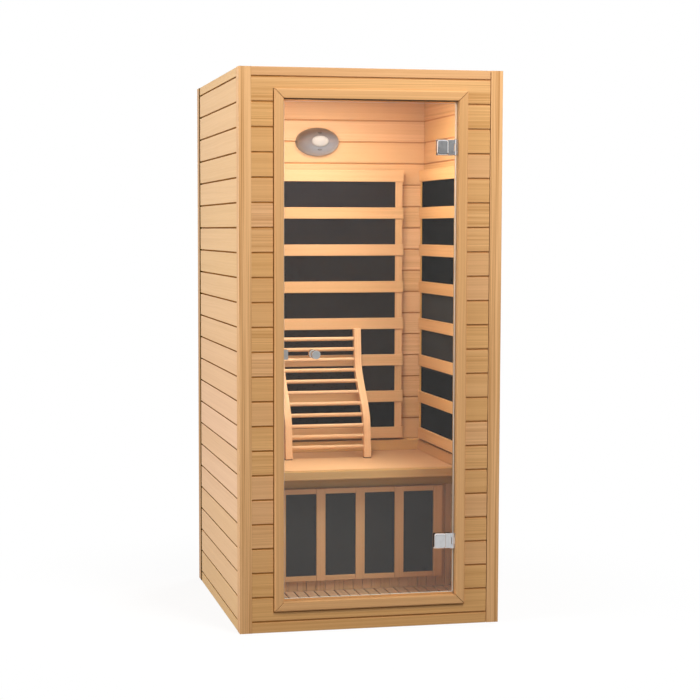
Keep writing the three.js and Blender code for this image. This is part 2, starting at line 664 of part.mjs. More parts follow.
// Lamp: an oval domed shell with an opal lens in its middle. Both are turned about the lamp's axis
// as round forms and stretched to the oval.
function lamp() {
  const stretch = LAMP_WIDTH / LAMP_OVAL_HEIGHT;
  const rimRadius = LAMP_OVAL_HEIGHT / 2;
  const lensRadius = LENS_OVAL_HEIGHT / 2;
  const seat = lensRadius + FIT_GAP;
  // The dome's profile is a quarter of an oval from the rim to the lens seat.
  const profile = (shrink) => {
    const points = [];
    const depth = LAMP_DEPTH - shrink;
    const radius = rimRadius - shrink;
    const last = Math.acos(seat / radius);
    for (let i = 0; i <= DOME_STEPS; i += 1) {
      const angle = (last * i) / DOME_STEPS;
      const height = LAMP_RIM + ((depth - LAMP_RIM) * Math.sin(angle)) / Math.sin(last);
      points.push(new THREE.Vector2(radius * Math.cos(angle), height));
    }
    return points;
  };
  const outer = profile(0);
  const inner = profile(LAMP_SHELL).reverse();
  const rim = [new THREE.Vector2(rimRadius - LAMP_SHELL, FIT_GAP), new THREE.Vector2(rimRadius, FIT_GAP)];
  const outline = [...rim, ...outer, ...inner];
  outline.push(outline[0].clone());
  const placed = (geometry) =>
    geometry.scale(stretch, 1, 1).rotateX(Math.PI).translate(0, ROOM_BACK_Y, LAMP_HEIGHT);
  addPiece(cabin, "lamp_dome", placed(new THREE.LatheGeometry(outline, LAMP_STEPS)), NICKEL);

  const lensBack = LAMP_DEPTH - LAMP_SHELL;
  const lensProfile = [new THREE.Vector2(0, lensBack), new THREE.Vector2(lensRadius, lensBack)];
  for (let i = 0; i <= ARC_STEPS; i += 1) {
    const angle = (Math.PI / 2) * (i / ARC_STEPS);
    const height = LAMP_DEPTH + LENS_BULGE * Math.sin(angle);
    const radius = i === ARC_STEPS ? 0 : lensRadius * Math.cos(angle);
    lensProfile.push(new THREE.Vector2(radius, height));
  }
  addPiece(cabin, "lamp_lens", placed(new THREE.LatheGeometry(lensProfile, LAMP_STEPS)), OPAL);
}

// The inlet's neck through the back wall, with room round it for the hole.
function inletBar(room, from, to) {
  const x0 = POWER_CENTRE_X - INLET_WIDTH / 2 - room;
  const x1 = POWER_CENTRE_X + INLET_WIDTH / 2 + room;
  const z0 = POWER_CENTRE_Z - INLET_HEIGHT / 2 - room;
  const z1 = POWER_CENTRE_Z + INLET_HEIGHT / 2 + room;
  return alongY(roundedRectangle(x0, x1, z0, z1, INLET_CORNER + room), from, to);
}

// Power unit behind the bench boards: its neck passes the back wall and ends in a mains socket
function powerUnit() {
  const back = ROOM_BACK_Y - FIT_GAP;
  const end = BACK_Y + INLET_PROUD;
  const half = [POWER_WIDTH / 2, POWER_HEIGHT / 2];
  const outline = roundedRectangle(
    POWER_CENTRE_X - half[0],
    POWER_CENTRE_X + half[0],
    POWER_CENTRE_Z - half[1],
    POWER_CENTRE_Z + half[1],
    INLET_CORNER,
  );
  const box = join(alongY(outline, back - POWER_DEPTH, back), inletBar(0, back - POWER_DEPTH / 2, end));
  const socket = block(
    POWER_CENTRE_X - SOCKET_WIDTH / 2,
    POWER_CENTRE_X + SOCKET_WIDTH / 2,
    end - SOCKET_DEPTH,
    end + SOCKET_DEPTH,
    POWER_CENTRE_Z - SOCKET_HEIGHT / 2,
    POWER_CENTRE_Z + SOCKET_HEIGHT / 2,
  );
  addPiece(cabin, "power_unit", box.subtract(solid(socket)), GREY_METAL);
}

// A plate with chamfered front edges that faces +Y or -Y, from its back plane outwards.
function chamferedPlate(x, z, width, height, corner, bevel, backY, depth, facing) {
  const shrink = (by) =>
    roundedRectangle(
      -width / 2 + by,
      width / 2 - by,
      -height / 2 + by,
      height / 2 - by,
      corner - by,
    );
  const geometry = new THREE.ExtrudeGeometry(shrink(bevel), {
    depth: depth - bevel,
    curveSegments: ARC_STEPS,
    bevelEnabled: true,
    bevelThickness: bevel,
    bevelSize: bevel,
    bevelSegments: 1,
  });
  // The bevel grows at both ends, so the back one is cut off by the plate's back plane.
  const local = solid(geometry).subtract(solid(block(-width, width, -height, height, -depth, 0)));
  const forward = facing > 0 ? AXIS_Y : AXIS_Y.clone().negate();
  const acrossX = facing > 0 ? AXIS_X.clone().negate() : AXIS_X;
  const placed = geometryOf(local).applyMatrix4(
    new THREE.Matrix4().makeBasis(acrossX, AXIS_Z, forward),
  );
  return placed.translate(x, backY, z);
}

// Control panel on the inside of the front wall, beside the door
function controlPanel() {
  const x = (-POST_INNER_X + ROUGH_LEFT_X) / 2;
  const back = ROOM_FRONT_Y + FIT_GAP;
  const body = chamferedPlate(
    x, PANEL_CENTRE_Z, PANEL_WIDTH, PANEL_HEIGHT, PANEL_CORNER, PANEL_BEVEL, back, PANEL_DEPTH, 1,
  );
  const screenTop = PANEL_CENTRE_Z + PANEL_HEIGHT / 2 - SCREEN_DROP;
  const screen = block(
    x - SCREEN_WIDTH / 2,
    x + SCREEN_WIDTH / 2,
    back + PANEL_DEPTH - SCREEN_RECESS,
    back + 2 * PANEL_DEPTH,
    screenTop - SCREEN_HEIGHT,
    screenTop,
  );
  addPiece(cabin, "control_panel", solid(body).subtract(solid(screen)), BLACK_PLASTIC);
}

// Glass pane with holes for the knobs' stud and the hinge bosses
function doorGlass() {
  const outline = roundedRectangle(GLASS_LEFT_X, GLASS_RIGHT_X, GLASS_BOTTOM, GLASS_TOP, GLASS_CORNER);
  const bosses = HINGES.flatMap(([, z]) => bossPlaces(z));
  const holes = [
    [STUD_RADIUS, KNOB_X, KNOB_HEIGHT],
    ...bosses.map(([x, z]) => [CLAMP_BOSS_RADIUS, x, z]),
  ];
  const drilled = holes.reduce((pane, [radius, x, z]) => {
    const drill = barY(radius + FIT_GAP, CASING_FRONT_Y, ROOM_FRONT_Y, x, z);
    return pane.subtract(solid(drill));
  }, solid(alongY(outline, GLASS_FRONT_Y, GLASS_BACK_Y)));
  addPiece(door, "door_glass", drilled, GLASS);
}

function bossPlaces(z) {
  const x = CLAMP_RIGHT_X - CLAMP_WIDTH / 2;
  return [
    [x, z - CLAMP_BOSS_SPACING / 2],
    [x, z + CLAMP_BOSS_SPACING / 2],
  ];
}

// One glass hinge. The leaf's knuckle is in the middle and the clamp's two are above and below it.
function hinge(name, z) {
  const top = z + HINGE_HEIGHT / 2;
  const bottom = z - HINGE_HEIGHT / 2;
  const split = LEAF_KNUCKLE_SHARE / 2;
  const bore = solid(barZ(PIN_RADIUS + FIT_GAP, bottom - HINGE_HEIGHT, top + HINGE_HEIGHT, PIVOT_X, PIVOT_Y));

  const leafPlate = block(
    LEAF_X,
    LEAF_X + LEAF_THICKNESS,
    PIVOT_Y - KNUCKLE_RADIUS,
    PIVOT_Y - KNUCKLE_RADIUS + LEAF_DEPTH,
    bottom,
    top,
  );
  const leafKnuckle = barZ(KNUCKLE_RADIUS, z - split, z + split, PIVOT_X, PIVOT_Y);
  const leafWeb = block(
    PIVOT_X,
    LEAF_X + LEAF_THICKNESS / 2,
    PIVOT_Y - KNUCKLE_RADIUS + KNUCKLE_CLEARANCE,
    PIVOT_Y,
    z - split,
    z + split,
  );
  const leaf = join(leafPlate, leafKnuckle, leafWeb).subtract(bore);
  addPiece(cabin, "hinge_" + name + "_leaf", leaf, STEEL);

  const pin = join(
    barZ(PIN_RADIUS, bottom - FIT_GAP, top + FIT_GAP, PIVOT_X, PIVOT_Y),
    barZ(PIN_HEAD_RADIUS, top + FIT_GAP, top + FIT_GAP + PIN_HEAD_HEIGHT, PIVOT_X, PIVOT_Y),
  );
  addPiece(cabin, "hinge_" + name + "_pin", pin, STEEL);

  const plateX = CLAMP_RIGHT_X - CLAMP_WIDTH / 2;
  const frontPlate = chamferedPlate(
    plateX, z, CLAMP_WIDTH, HINGE_HEIGHT, CLAMP_CORNER, CLAMP_BEVEL,
    GLASS_FRONT_Y - FIT_GAP, CLAMP_THICKNESS, -1,
  );
  const knuckle = (z0, z1) => [
    barZ(KNUCKLE_RADIUS, z0, z1, PIVOT_X, PIVOT_Y),
    block(CLAMP_RIGHT_X - CLAMP_CORNER, PIVOT_X, PIVOT_Y, PIVOT_Y + KNUCKLE_RADIUS, z0, z1),
  ];
  const clamp = join(
    frontPlate,
    ...knuckle(z + split + FIT_GAP, top),
    ...knuckle(bottom, z - split - FIT_GAP),
  ).subtract(bore);
  addPiece(door, "hinge_" + name + "_clamp", clamp, STEEL);

  const backPlate = chamferedPlate(
    plateX, z, CLAMP_WIDTH, HINGE_HEIGHT, CLAMP_CORNER, CLAMP_BEVEL,
    GLASS_BACK_Y + FIT_GAP, CLAMP_THICKNESS, 1,
  );
  const bosses = bossPlaces(z).map(([x, bossZ]) =>
    barY(CLAMP_BOSS_RADIUS, GLASS_FRONT_Y, GLASS_BACK_Y + CLAMP_THICKNESS / 2, x, bossZ),
  );
  addPiece(door, "hinge_" + name + "_backplate", join(backPlate, ...bosses), STEEL);
}

// Door knobs: turned back to back, the outer one with a stud that passes the glass into the inner
function knobs() {
  const knobProfile = () => {
    const neckEnd = ROSETTE_THICKNESS + NECK_LENGTH;
    const end = neckEnd + KNOB_LENGTH;
    const r = KNOB_ROUND;
    const arc = (y, from) =>
      Array.from({ length: ARC_STEPS + 1 }, (_, i) => {
        const angle = from + (Math.PI / 2) * (i / ARC_STEPS);
        return [KNOB_RADIUS - r + r * Math.cos(angle), y + r * Math.sin(angle)];
      });
    const points = [
      [0, 0],
      [ROSETTE_RADIUS, 0],
      [ROSETTE_RADIUS, ROSETTE_THICKNESS],
      [NECK_RADIUS, ROSETTE_THICKNESS],
      [NECK_RADIUS, neckEnd],
      ...arc(neckEnd + r, -Math.PI / 2),
      ...arc(end - r, 0),
      [0, end],
    ];
    return points.map(([x, y]) => new THREE.Vector2(x, y));
  };
  const turned = () => new THREE.LatheGeometry(knobProfile(), ROUND_STEPS);
  const outside = turned().rotateX(Math.PI).translate(KNOB_X, GLASS_FRONT_Y - FIT_GAP, KNOB_HEIGHT);
  const studEnd = GLASS_BACK_Y + STUD_ENGAGEMENT;
  const stud = barY(STUD_RADIUS, GLASS_FRONT_Y - ROSETTE_THICKNESS, studEnd, KNOB_X, KNOB_HEIGHT);
  addPiece(door, "knob_outer", join(outside, stud), STEEL);

  const inside = turned().translate(KNOB_X, GLASS_BACK_Y + FIT_GAP, KNOB_HEIGHT);
  const bore = barY(
    STUD_RADIUS + FIT_GAP, GLASS_FRONT_Y, studEnd + FIT_GAP, KNOB_X, KNOB_HEIGHT,
  );
  addPiece(door, "knob_inner", solid(inside).subtract(solid(bore)), STEEL);
}

// Magnetic catch: a folded steel clip on the glass edge and a magnet on the lining behind it
function doorCatch() {
  const z0 = KNOB_HEIGHT - CATCH_HEIGHT / 2;
  const z1 = KNOB_HEIGHT + CATCH_HEIGHT / 2;
  const right = GLASS_LEFT_X + CATCH_WIDTH;
  const webInner = GLASS_LEFT_X - FIT_GAP;
  const webOuter = webInner - CATCH_SHEET;
  const front = GLASS_FRONT_Y - FIT_GAP;
  const back = GLASS_BACK_Y + FIT_GAP;
  const clip = polygon([
    [right, front - CATCH_SHEET],
    [right, front],
    [webInner, front],
    [webInner, back],
    [right, back],
    [right, back + CATCH_SHEET],
    [webOuter, back + CATCH_SHEET],
    [webOuter, front - CATCH_SHEET],
  ]);
  addPiece(door, "catch_plate", alongZ(clip, z0, z1), STEEL);

  const magnetFront = back + CATCH_SHEET + FIT_GAP;
  const magnet = roundedRectangle(
    OPENING_LEFT_X + FIT_GAP, right, magnetFront, magnetFront + MAGNET_DEPTH, CATCH_SHEET,
  );
  addPiece(cabin, "catch_magnet", alongZ(magnet, z0, z1), BLACK_PLASTIC);
}

// Backrest: both rails follow one S curve, from the feet on the bench back to the heater guard
function looseBackrest() {
  const foot = BENCH_HEIGHT + FIT_GAP;
  const topY = ROOM_BACK_Y - GUARD_DEPTH - FIT_GAP - (REST_RAIL_DEPTH / 2) * Math.hypot(1, REST_LEAN);
  const sweep = topY - REST_FOOT_Y - REST_LEAN * REST_HEIGHT;
  // The rail leans back evenly, and between the two bends it sweeps back as well.
  const spineY = (rise) => {
    const bend = THREE.MathUtils.smoothstep(rise, REST_BEND_START, REST_BEND_END);
    return REST_FOOT_Y + REST_LEAN * rise + sweep * bend;
  };
  const slope = (rise) => spineY(rise + 0.5) - spineY(rise - 0.5);
  const edge = (side) =>
    Array.from({ length: REST_STEPS + 1 }, (_, i) => {
      const rise = (REST_HEIGHT * i) / REST_STEPS;
      const halfDepth = (REST_RAIL_DEPTH / 2) * Math.hypot(1, slope(rise));
      return [spineY(rise) + side * halfDepth, foot + rise];
    });
  const outline = polygon([...edge(1), ...edge(-1).reverse()]);

  const rises = Array.from({ length: DOWEL_COUNT }, (_, i) => FIRST_DOWEL_RISE + i * DOWEL_PITCH);
  const inner = REST_WIDTH / 2 - REST_RAIL_WIDTH;
  const dowelEnd = inner + DOWEL_SOCKET;
  const dowel = (rise, room) =>
    barX(DOWEL_RADIUS + room, -dowelEnd - room, dowelEnd + room, spineY(rise), foot + rise);
  const rail = (name, x0, x1) => {
    const drilled = rises.reduce(
      (body, rise) => body.subtract(solid(dowel(rise, FIT_GAP))),
      solid(alongX(outline, x0, x1)),
    );
    addPiece(backrest, name, drilled, REST_WOOD);
  };
  rail("backrest_rail_left", -REST_WIDTH / 2, -inner);
  rail("backrest_rail_right", inner, REST_WIDTH / 2);
  rises.forEach((rise, i) => {
    const number = String(i + 1).padStart(2, "0");
    addPiece(backrest, "backrest_dowel_" + number, dowel(rise, 0), REST_WOOD);
  });
}

frontWall();
backWall();
sideWall("left", -1);
sideWall("right", 1);
roof();
floor();
doorCasing();
bench();
const sideGuardWidth = SIDE_GUARD_BACK_Y - SIDE_GUARD_FRONT_Y;
const sideGuardY = (SIDE_GUARD_BACK_Y + SIDE_GUARD_FRONT_Y) / 2;
wallHeater("back", BACK_GUARD_WIDTH, new THREE.Vector3(0, ROOM_BACK_Y, 0), 0);
wallHeater("left", sideGuardWidth, new THREE.Vector3(-ROOM_X, sideGuardY, 0), Math.PI / 2);
wallHeater("right", sideGuardWidth, new THREE.Vector3(ROOM_X, sideGuardY, 0), -Math.PI / 2);
calfHeater();
lamp();
powerUnit();
controlPanel();
doorGlass();
for (const [name, z] of HINGES) hinge(name, z);
knobs();
doorCatch();
looseBackrest();

export default sauna;
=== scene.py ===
# %% [markdown]
# # Infrared sauna cabin for one person
# The imported model gives every piece its place, in metres, with +Z up and the door on the -Y
# side. This lesson dresses that frame: boards with real seams, grain that runs along each board,
# clear glass, polished hardware and the warm light of the wall lamp. The dressed cabin has to stay
# the same size.

# %% Load the frame
import math
import random

import bmesh
import bpy
from mathutils import Matrix, Vector


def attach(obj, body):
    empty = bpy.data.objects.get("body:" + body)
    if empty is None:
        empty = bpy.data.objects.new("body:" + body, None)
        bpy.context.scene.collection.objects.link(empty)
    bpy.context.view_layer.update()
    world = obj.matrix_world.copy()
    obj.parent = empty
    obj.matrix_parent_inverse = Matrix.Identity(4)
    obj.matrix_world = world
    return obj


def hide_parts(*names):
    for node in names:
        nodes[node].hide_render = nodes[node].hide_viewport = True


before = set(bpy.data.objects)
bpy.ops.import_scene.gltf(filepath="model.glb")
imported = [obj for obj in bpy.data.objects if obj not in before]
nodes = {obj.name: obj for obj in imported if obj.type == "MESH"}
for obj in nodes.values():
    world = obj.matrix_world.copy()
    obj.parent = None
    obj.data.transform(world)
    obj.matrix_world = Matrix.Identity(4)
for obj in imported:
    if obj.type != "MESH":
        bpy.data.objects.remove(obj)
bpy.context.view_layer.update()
scene = bpy.context.scene
scene.view_settings.view_transform = "Standard"

# %% [markdown]
# ## Camera
# The cabin is seen from the front, a little from the left and from above the middle of the door.
# A long lens keeps the uprights almost parallel. The cabin stands left of the picture's middle,
# so the lens is shifted a little instead of turning the camera.

# %% Camera
CAMERA_PLACE = (-1.3923, -5.9618, 1.3662)
CAMERA_TARGET = (-0.1786, 0.0, 0.8830)

lens = bpy.data.cameras.new("photo_camera")
lens.sensor_width = 36.0
lens.lens = 85.86
lens.shift_x = 0.0821
lens.shift_y = 0.0175
camera = bpy.data.objects.new("photo_camera", lens)
scene.collection.objects.link(camera)
camera.location = CAMERA_PLACE
sight = Vector(CAMERA_TARGET) - Vector(CAMERA_PLACE)
camera.rotation_euler = sight.to_track_quat("-Z", "Y").to_euler()
scene.camera = camera
print("camera", round(sight.length, 3), "m from its target")

# %% [markdown]
# ## Node helpers
# Materials are built from nodes in code. Three small helpers keep that readable: one makes a node
# and sets its properties, one feeds a socket from a number or from another socket, and one does
# arithmetic.

# %% Node helpers
def add_node(tree, kind, **settings):
    made = tree.nodes.new(kind)
    for name, value in settings.items():
        setattr(made, name, value)
    return made


def feed(tree, socket, value):
    if isinstance(value, bpy.types.NodeSocket):
        tree.links.new(value, socket)
    else:
        socket.default_value = value


def sum_of(tree, operation, *values):
    made = add_node(tree, "ShaderNodeMath", operation=operation)
    for socket, value in zip(made.inputs, values):
        feed(tree, socket, value)
    return made.outputs[0]


def vector_of(tree, x, y, z):
    made = add_node(tree, "ShaderNodeCombineXYZ")
    for socket, value in zip(made.inputs, (x, y, z)):
        feed(tree, socket, value)
    return made.outputs[0]


def parts_of(tree, vector):
    made = add_node(tree, "ShaderNodeSeparateXYZ")
    feed(tree, made.inputs[0], vector)
    return made.outputs


def noise(tree, place, scale=1.0, detail=2.0, roughness=0.5):
    made = add_node(tree, "ShaderNodeTexNoise")
    feed(tree, made.inputs["Vector"], place)
    made.inputs["Scale"].default_value = scale
    made.inputs["Detail"].default_value = detail
    made.inputs["Roughness"].default_value = roughness
    return made.outputs[0]


def between(tree, value, low, high, to_low=0.0, to_high=1.0):
    made = add_node(tree, "ShaderNodeMapRange", interpolation_type="SMOOTHSTEP")
    for socket, number in zip(made.inputs, (value, low, high, to_low, to_high)):
        feed(tree, socket, number)
    return made.outputs[0]


def blend_colours(tree, share, first, second, kind="MIX"):
    made = add_node(tree, "ShaderNodeMix", data_type="RGBA", blend_type=kind)
    feed(tree, made.inputs[0], share)
    feed(tree, made.inputs[6], first)
    feed(tree, made.inputs[7], second)
    return made.outputs[2]


def new_group(name, inputs, outputs):
    """An empty node group with named sockets: (name, kind, default) in, (name, kind) out."""
    group = bpy.data.node_groups.new(name, "ShaderNodeTree")
    for label, kind, default in inputs:
        socket = group.interface.new_socket(label, in_out="INPUT", socket_type="NodeSocket" + kind)
        socket.default_value = default
    for label, kind in outputs:
        group.interface.new_socket(label, in_out="OUTPUT", socket_type="NodeSocket" + kind)
    return group, group.nodes.new("NodeGroupInput").outputs, group.nodes.new("NodeGroupOutput").inputs


def use_group(tree, group, **values):
    made = add_node(tree, "ShaderNodeGroup", node_tree=group)
    for name, value in values.items():
        feed(tree, made.inputs[name.replace("_", " ")], value)
    return made.outputs


def new_material(name, **constants):
    """A material with one Principled shader, whose plain numbers are set on its own sockets."""
    made = bpy.data.materials.new(name)
    made.use_nodes = True
    shader = made.node_tree.nodes["Principled BSDF"]
    for label, value in constants.items():
        shader.inputs[label.replace("_", " ")].default_value = value
    return made, made.node_tree, shader


def raise_surface(tree, shader, height, strength, distance):
    bump = add_node(tree, "ShaderNodeBump")
    bump.inputs["Strength"].default_value = strength
    bump.inputs["Distance"].default_value = distance
    feed(tree, bump.inputs["Height"], height)
    feed(tree, shader.inputs["Normal"], bump.outputs[0])


print("node helpers ready")

# %% [markdown]
# ## Room light and floor
# The cabin stands on white studio paper. Lamps and sky light it at a plain level, so that a colour
# renders about as it is written. Only what the camera, a mirror or the glass sees of the sky is
# pure white: the Light Path node tells those rays apart. The paper does the same, and lets a
# little of its real shading through, so the cabin keeps a faint shadow.

# %% Sky
SKY_LEVEL = 0.28
MIRROR_AHEAD, MIRROR_FAR, MIRROR_NEAR = 0.40, 0.06, 0.60

world = bpy.data.worlds.new("studio_sky")
scene.world = world
world.use_nodes = True
sky = world.node_tree


def seen_directly(tree):
    """1 for rays from the camera and through glass, 1 for mirrors: (seen, mirrored)."""
    path = add_node(tree, "ShaderNodeLightPath")
    seen = sum_of(tree, "MAXIMUM", path.outputs["Is Camera Ray"], path.outputs["Is Transmission Ray"])
    return seen, path.outputs["Is Glossy Ray"]


background = sky.nodes["Background"]
background.inputs["Color"].default_value = (1, 1, 1, 1)
seen, mirrored = seen_directly(sky)
way = parts_of(sky, add_node(sky, "ShaderNodeTexCoord").outputs["Generated"])
ahead = between(sky, way[2], 0.036, 0.044, MIRROR_FAR, MIRROR_AHEAD)
mirror_level = between(sky, way[1], -0.94, -0.78, ahead, 1.0)
level = between(sky, mirrored, 0.0, 1.0, SKY_LEVEL, mirror_level)
level = between(sky, seen, 0.0, 1.0, level, 1.0)
feed(sky, background.inputs["Strength"], level)
print("sky level for lighting", SKY_LEVEL)

# %% Studio lamps
def soft_box(name, place, target, size, watts, colour=(1, 1, 1)):
    data = bpy.data.lights.new(name, "AREA")
    data.shape = "SQUARE"
    data.size = size
    data.energy = watts
    data.color = colour
    lamp = bpy.data.objects.new(name, data)
    scene.collection.objects.link(lamp)
    lamp.location = place
    lamp.rotation_euler = (Vector(target) - Vector(place)).to_track_quat("-Z", "Y").to_euler()
    lamp.visible_camera = False
    lamp.visible_glossy = False
    lamp.visible_transmission = False
    return lamp


soft_box("left_box", (-4.4, -0.9, 2.1), (-0.4, 0, 1.0), 2.2, 153)
soft_box("front_box", (0.8, -2.7, 3.6), (0, -0.4, 1.5), 1.1, 97)
soft_box("back_box", (3.2, 4.0, 3.2), (0, 0, 1.0), 2.4, 130)

# %% Paper floor
FLOOR_SIZE = 30.0
FLOOR_SHADE = 0.12

paper_mesh = bpy.data.meshes.new("paper_floor")
half = FLOOR_SIZE / 2
corners = [(-half, -half, 0), (half, -half, 0), (half, half, 0), (-half, half, 0)]
paper_mesh.from_pydata(corners, [], [(0, 1, 2, 3)])
paper = bpy.data.objects.new("paper_floor", paper_mesh)
paper.location = (0, 0, -0.0005)
scene.collection.objects.link(paper)

paper_material, tree, shader = new_material("studio paper", Roughness=0.9)
shader.inputs["Base Color"].default_value = (0.34, 0.34, 0.34, 1)
shader.inputs["Specular IOR Level"].default_value = 0.0
where = parts_of(tree, add_node(tree, "ShaderNodeTexCoord").outputs["Object"])
reach = sum_of(tree, "SQRT", sum_of(
    tree, "ADD", sum_of(tree, "POWER", where[0], 2.0), sum_of(tree, "POWER", where[1], 2.0)))
shade = between(tree, reach, 0.6, 1.6, FLOOR_SHADE, 0.0)
white = add_node(tree, "ShaderNodeEmission")
white.inputs["Color"].default_value = (1, 1, 1, 1)
shaded = add_node(tree, "ShaderNodeBsdfDiffuse")
shaded.inputs["Color"].default_value = (1, 1, 1, 1)
lit_paper = add_node(tree, "ShaderNodeMixShader")
feed(tree, lit_paper.inputs[0], shade)
tree.links.new(white.outputs[0], lit_paper.inputs[1])
tree.links.new(shaded.outputs[0], lit_paper.inputs[2])
seen, mirrored = seen_directly(tree)
grey = add_node(tree, "ShaderNodeEmission")
feed(tree, grey.inputs["Strength"], between(tree, reach, 3.2, 4.8, MIRROR_NEAR, MIRROR_FAR))
in_mirrors = add_node(tree, "ShaderNodeMixShader")
feed(tree, in_mirrors.inputs[0], mirrored)
tree.links.new(shader.outputs[0], in_mirrors.inputs[1])
tree.links.new(grey.outputs[0], in_mirrors.inputs[2])
choice = add_node(tree, "ShaderNodeMixShader")
feed(tree, choice.inputs[0], seen)
tree.links.new(in_mirrors.outputs[0], choice.inputs[1])
tree.links.new(lit_paper.outputs[0], choice.inputs[2])
tree.links.new(choice.outputs[0], tree.nodes["Material Output"].inputs["Surface"])
paper_mesh.materials.append(paper_material)
print("paper floor", FLOOR_SIZE, "m wide")

# %% [markdown]
# ## Softwood grain
# The cabin is made of hemlock: pale, straight-grained, with soft broad streaks, fine growth lines
# and hardly any knots. One node group draws all of that from a place in metres: along the grain,
# across it and through the board. Noise that is stretched along the grain gives the streaks, a
# drifting saw-tooth gives the growth lines with their sharp late edge, and very fine noise gives
# the fibres. Each board brings its own tone, its own strength of figure and its own place in the
# log, so no two boards look alike.

# %% Softwood group
softwood, given, out = new_group(
    "softwood grain",
    [
        ("Place", "Vector", (0, 0, 0)),
        ("Light Wood", "Color", (0.8, 0.5, 0.25, 1)),
        ("Dark Wood", "Color", (0.5, 0.27, 0.1, 1)),
        ("Tone", "Float", 0.0),
        ("Figure", "Float", 1.0),
    ],
    [("Color", "Color"), ("Roughness", "Float"), ("Height", "Float")],
)
along, across, through = parts_of(softwood, given["Place"])
slow = vector_of(
    softwood,
    sum_of(softwood, "MULTIPLY", along, 1.1),
    sum_of(softwood, "MULTIPLY", across, 5.0),
    sum_of(softwood, "MULTIPLY", through, 5.0),
)
drift = sum_of(softwood, "SUBTRACT", noise(softwood, slow, detail=2.0), 0.5)
bent = sum_of(softwood, "MULTIPLY_ADD", drift, 0.022, across)
ring_place = sum_of(softwood, "MULTIPLY_ADD", through, 0.4, bent)
pace = noise(softwood, vector_of(softwood, sum_of(softwood, "MULTIPLY", ring_place, 16.0), 0.0, 0.0))
rings = sum_of(softwood, "FRACT", sum_of(
    softwood, "MULTIPLY_ADD", pace, 3.2, sum_of(softwood, "MULTIPLY", ring_place, 190.0)))
late_wood = sum_of(softwood, "POWER", rings, 3.0)


def streaks_of(run, width, depth, low, high):
    """Soft streaks: noise that is stretched along the grain."""
    stretched = vector_of(
        softwood,
        sum_of(softwood, "MULTIPLY", along, run),
        sum_of(softwood, "MULTIPLY", bent, width),
        sum_of(softwood, "MULTIPLY", through, depth),
    )
    return between(softwood, noise(softwood, stretched, detail=3.0, roughness=0.6), low, high)


broad = streaks_of(0.6, 46.0, 30.0, 0.34, 0.68)
fine = streaks_of(1.1, 210.0, 150.0, 0.36, 0.66)
streaks = sum_of(softwood, "MULTIPLY_ADD", fine, 0.58, sum_of(softwood, "MULTIPLY", broad, 0.42))
fibre_place = vector_of(
    softwood,
    sum_of(softwood, "MULTIPLY", along, 10.0),
    sum_of(softwood, "MULTIPLY", across, 620.0),
    sum_of(softwood, "MULTIPLY", through, 620.0),
)
fibres = noise(softwood, fibre_place, detail=2.0, roughness=0.6)
figure = sum_of(softwood, "MULTIPLY_ADD", late_wood, 0.24, sum_of(softwood, "MULTIPLY", streaks, 0.74))
figure = sum_of(softwood, "MULTIPLY_ADD", fibres, 0.16, figure)
figure = sum_of(softwood, "SUBTRACT", figure, 0.48)
figure = sum_of(softwood, "MULTIPLY_ADD", figure, given["Figure"], 0.42)
colour = blend_colours(softwood, figure, given["Light Wood"], given["Dark Wood"])
toned = add_node(softwood, "ShaderNodeHueSaturation")
feed(softwood, toned.inputs["Color"], colour)
feed(softwood, toned.inputs["Hue"], sum_of(softwood, "MULTIPLY_ADD", given["Tone"], -0.002, 0.5))
feed(softwood, toned.inputs["Saturation"], sum_of(softwood, "MULTIPLY_ADD", given["Tone"], -0.035, 1.0))
feed(softwood, toned.inputs["Value"], sum_of(softwood, "MULTIPLY_ADD", given["Tone"], 0.034, 1.0))
feed(softwood, out["Color"], toned.outputs[0])
rough = sum_of(softwood, "MULTIPLY_ADD", fibres, 0.16, 0.40)
feed(softwood, out["Roughness"], sum_of(softwood, "MULTIPLY_ADD", late_wood, -0.06, rough))
feed(softwood, out["Height"], sum_of(
    softwood, "MULTIPLY_ADD", late_wood, 0.5, sum_of(softwood, "MULTIPLY", fibres, 0.5)))
print("softwood group has", len(softwood.nodes), "nodes")

# %% [markdown]
# ## Wood finishes
# Pieces made here carry their grain place in a mesh attribute, one per board. Pieces that come
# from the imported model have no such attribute, so for those the object's own coordinates are
# reordered: the axis that the grain follows comes first. Both ways feed the same group.

# %% Wood materials
GRAIN_ORDER = {"X": (0, 2, 1), "Y": (1, 2, 0), "Z": (2, 0, 1)}
OUTER = ((0.83, 0.478, 0.215, 1), (0.53, 0.257, 0.085, 1))
# The side boards are a paler copy of the front's wood: painted light, for the brighter, paler look of the sides.
SIDE_PAINTED_LIGHTER = ((0.87, 0.555, 0.29, 1), (0.62, 0.35, 0.15, 1))
BACK_POST = ((0.64, 0.37, 0.165, 1), (0.43, 0.205, 0.068, 1))
ROOM = ((0.81, 0.505, 0.248, 1), (0.60, 0.335, 0.138, 1))
# The room's side walls and side guards take a darker, duller copy of the room's wood: painted shade.
SIDE_ROOM_SHADED = ((0.745, 0.43, 0.178, 1), (0.547, 0.282, 0.098, 1))
# The floor's wood is a lighter copy of the room's: painted light.
FLOOR_PAINTED_LIGHTER = ((1.0, 0.72, 0.425, 1), (0.85, 0.54, 0.28, 1))
# The kick boards' wood is a darker copy of the room's: painted shade under the bench.
KICK_SHADED = ((0.73, 0.455, 0.225, 1), (0.55, 0.31, 0.132, 1))
BENCH = ((0.85, 0.54, 0.285, 1), (0.67, 0.39, 0.185, 1))
# Rails and dowels of the backrest are lit and shaded copies of one wood: the rails painted lighter, the dowels
# darker.
REST_PAINTED_LIGHTER = ((0.93, 0.60, 0.33, 1), (0.74, 0.43, 0.21, 1))
DOWELS_PAINTED_DARKER = ((0.87, 0.57, 0.32, 1), (0.70, 0.42, 0.215, 1))
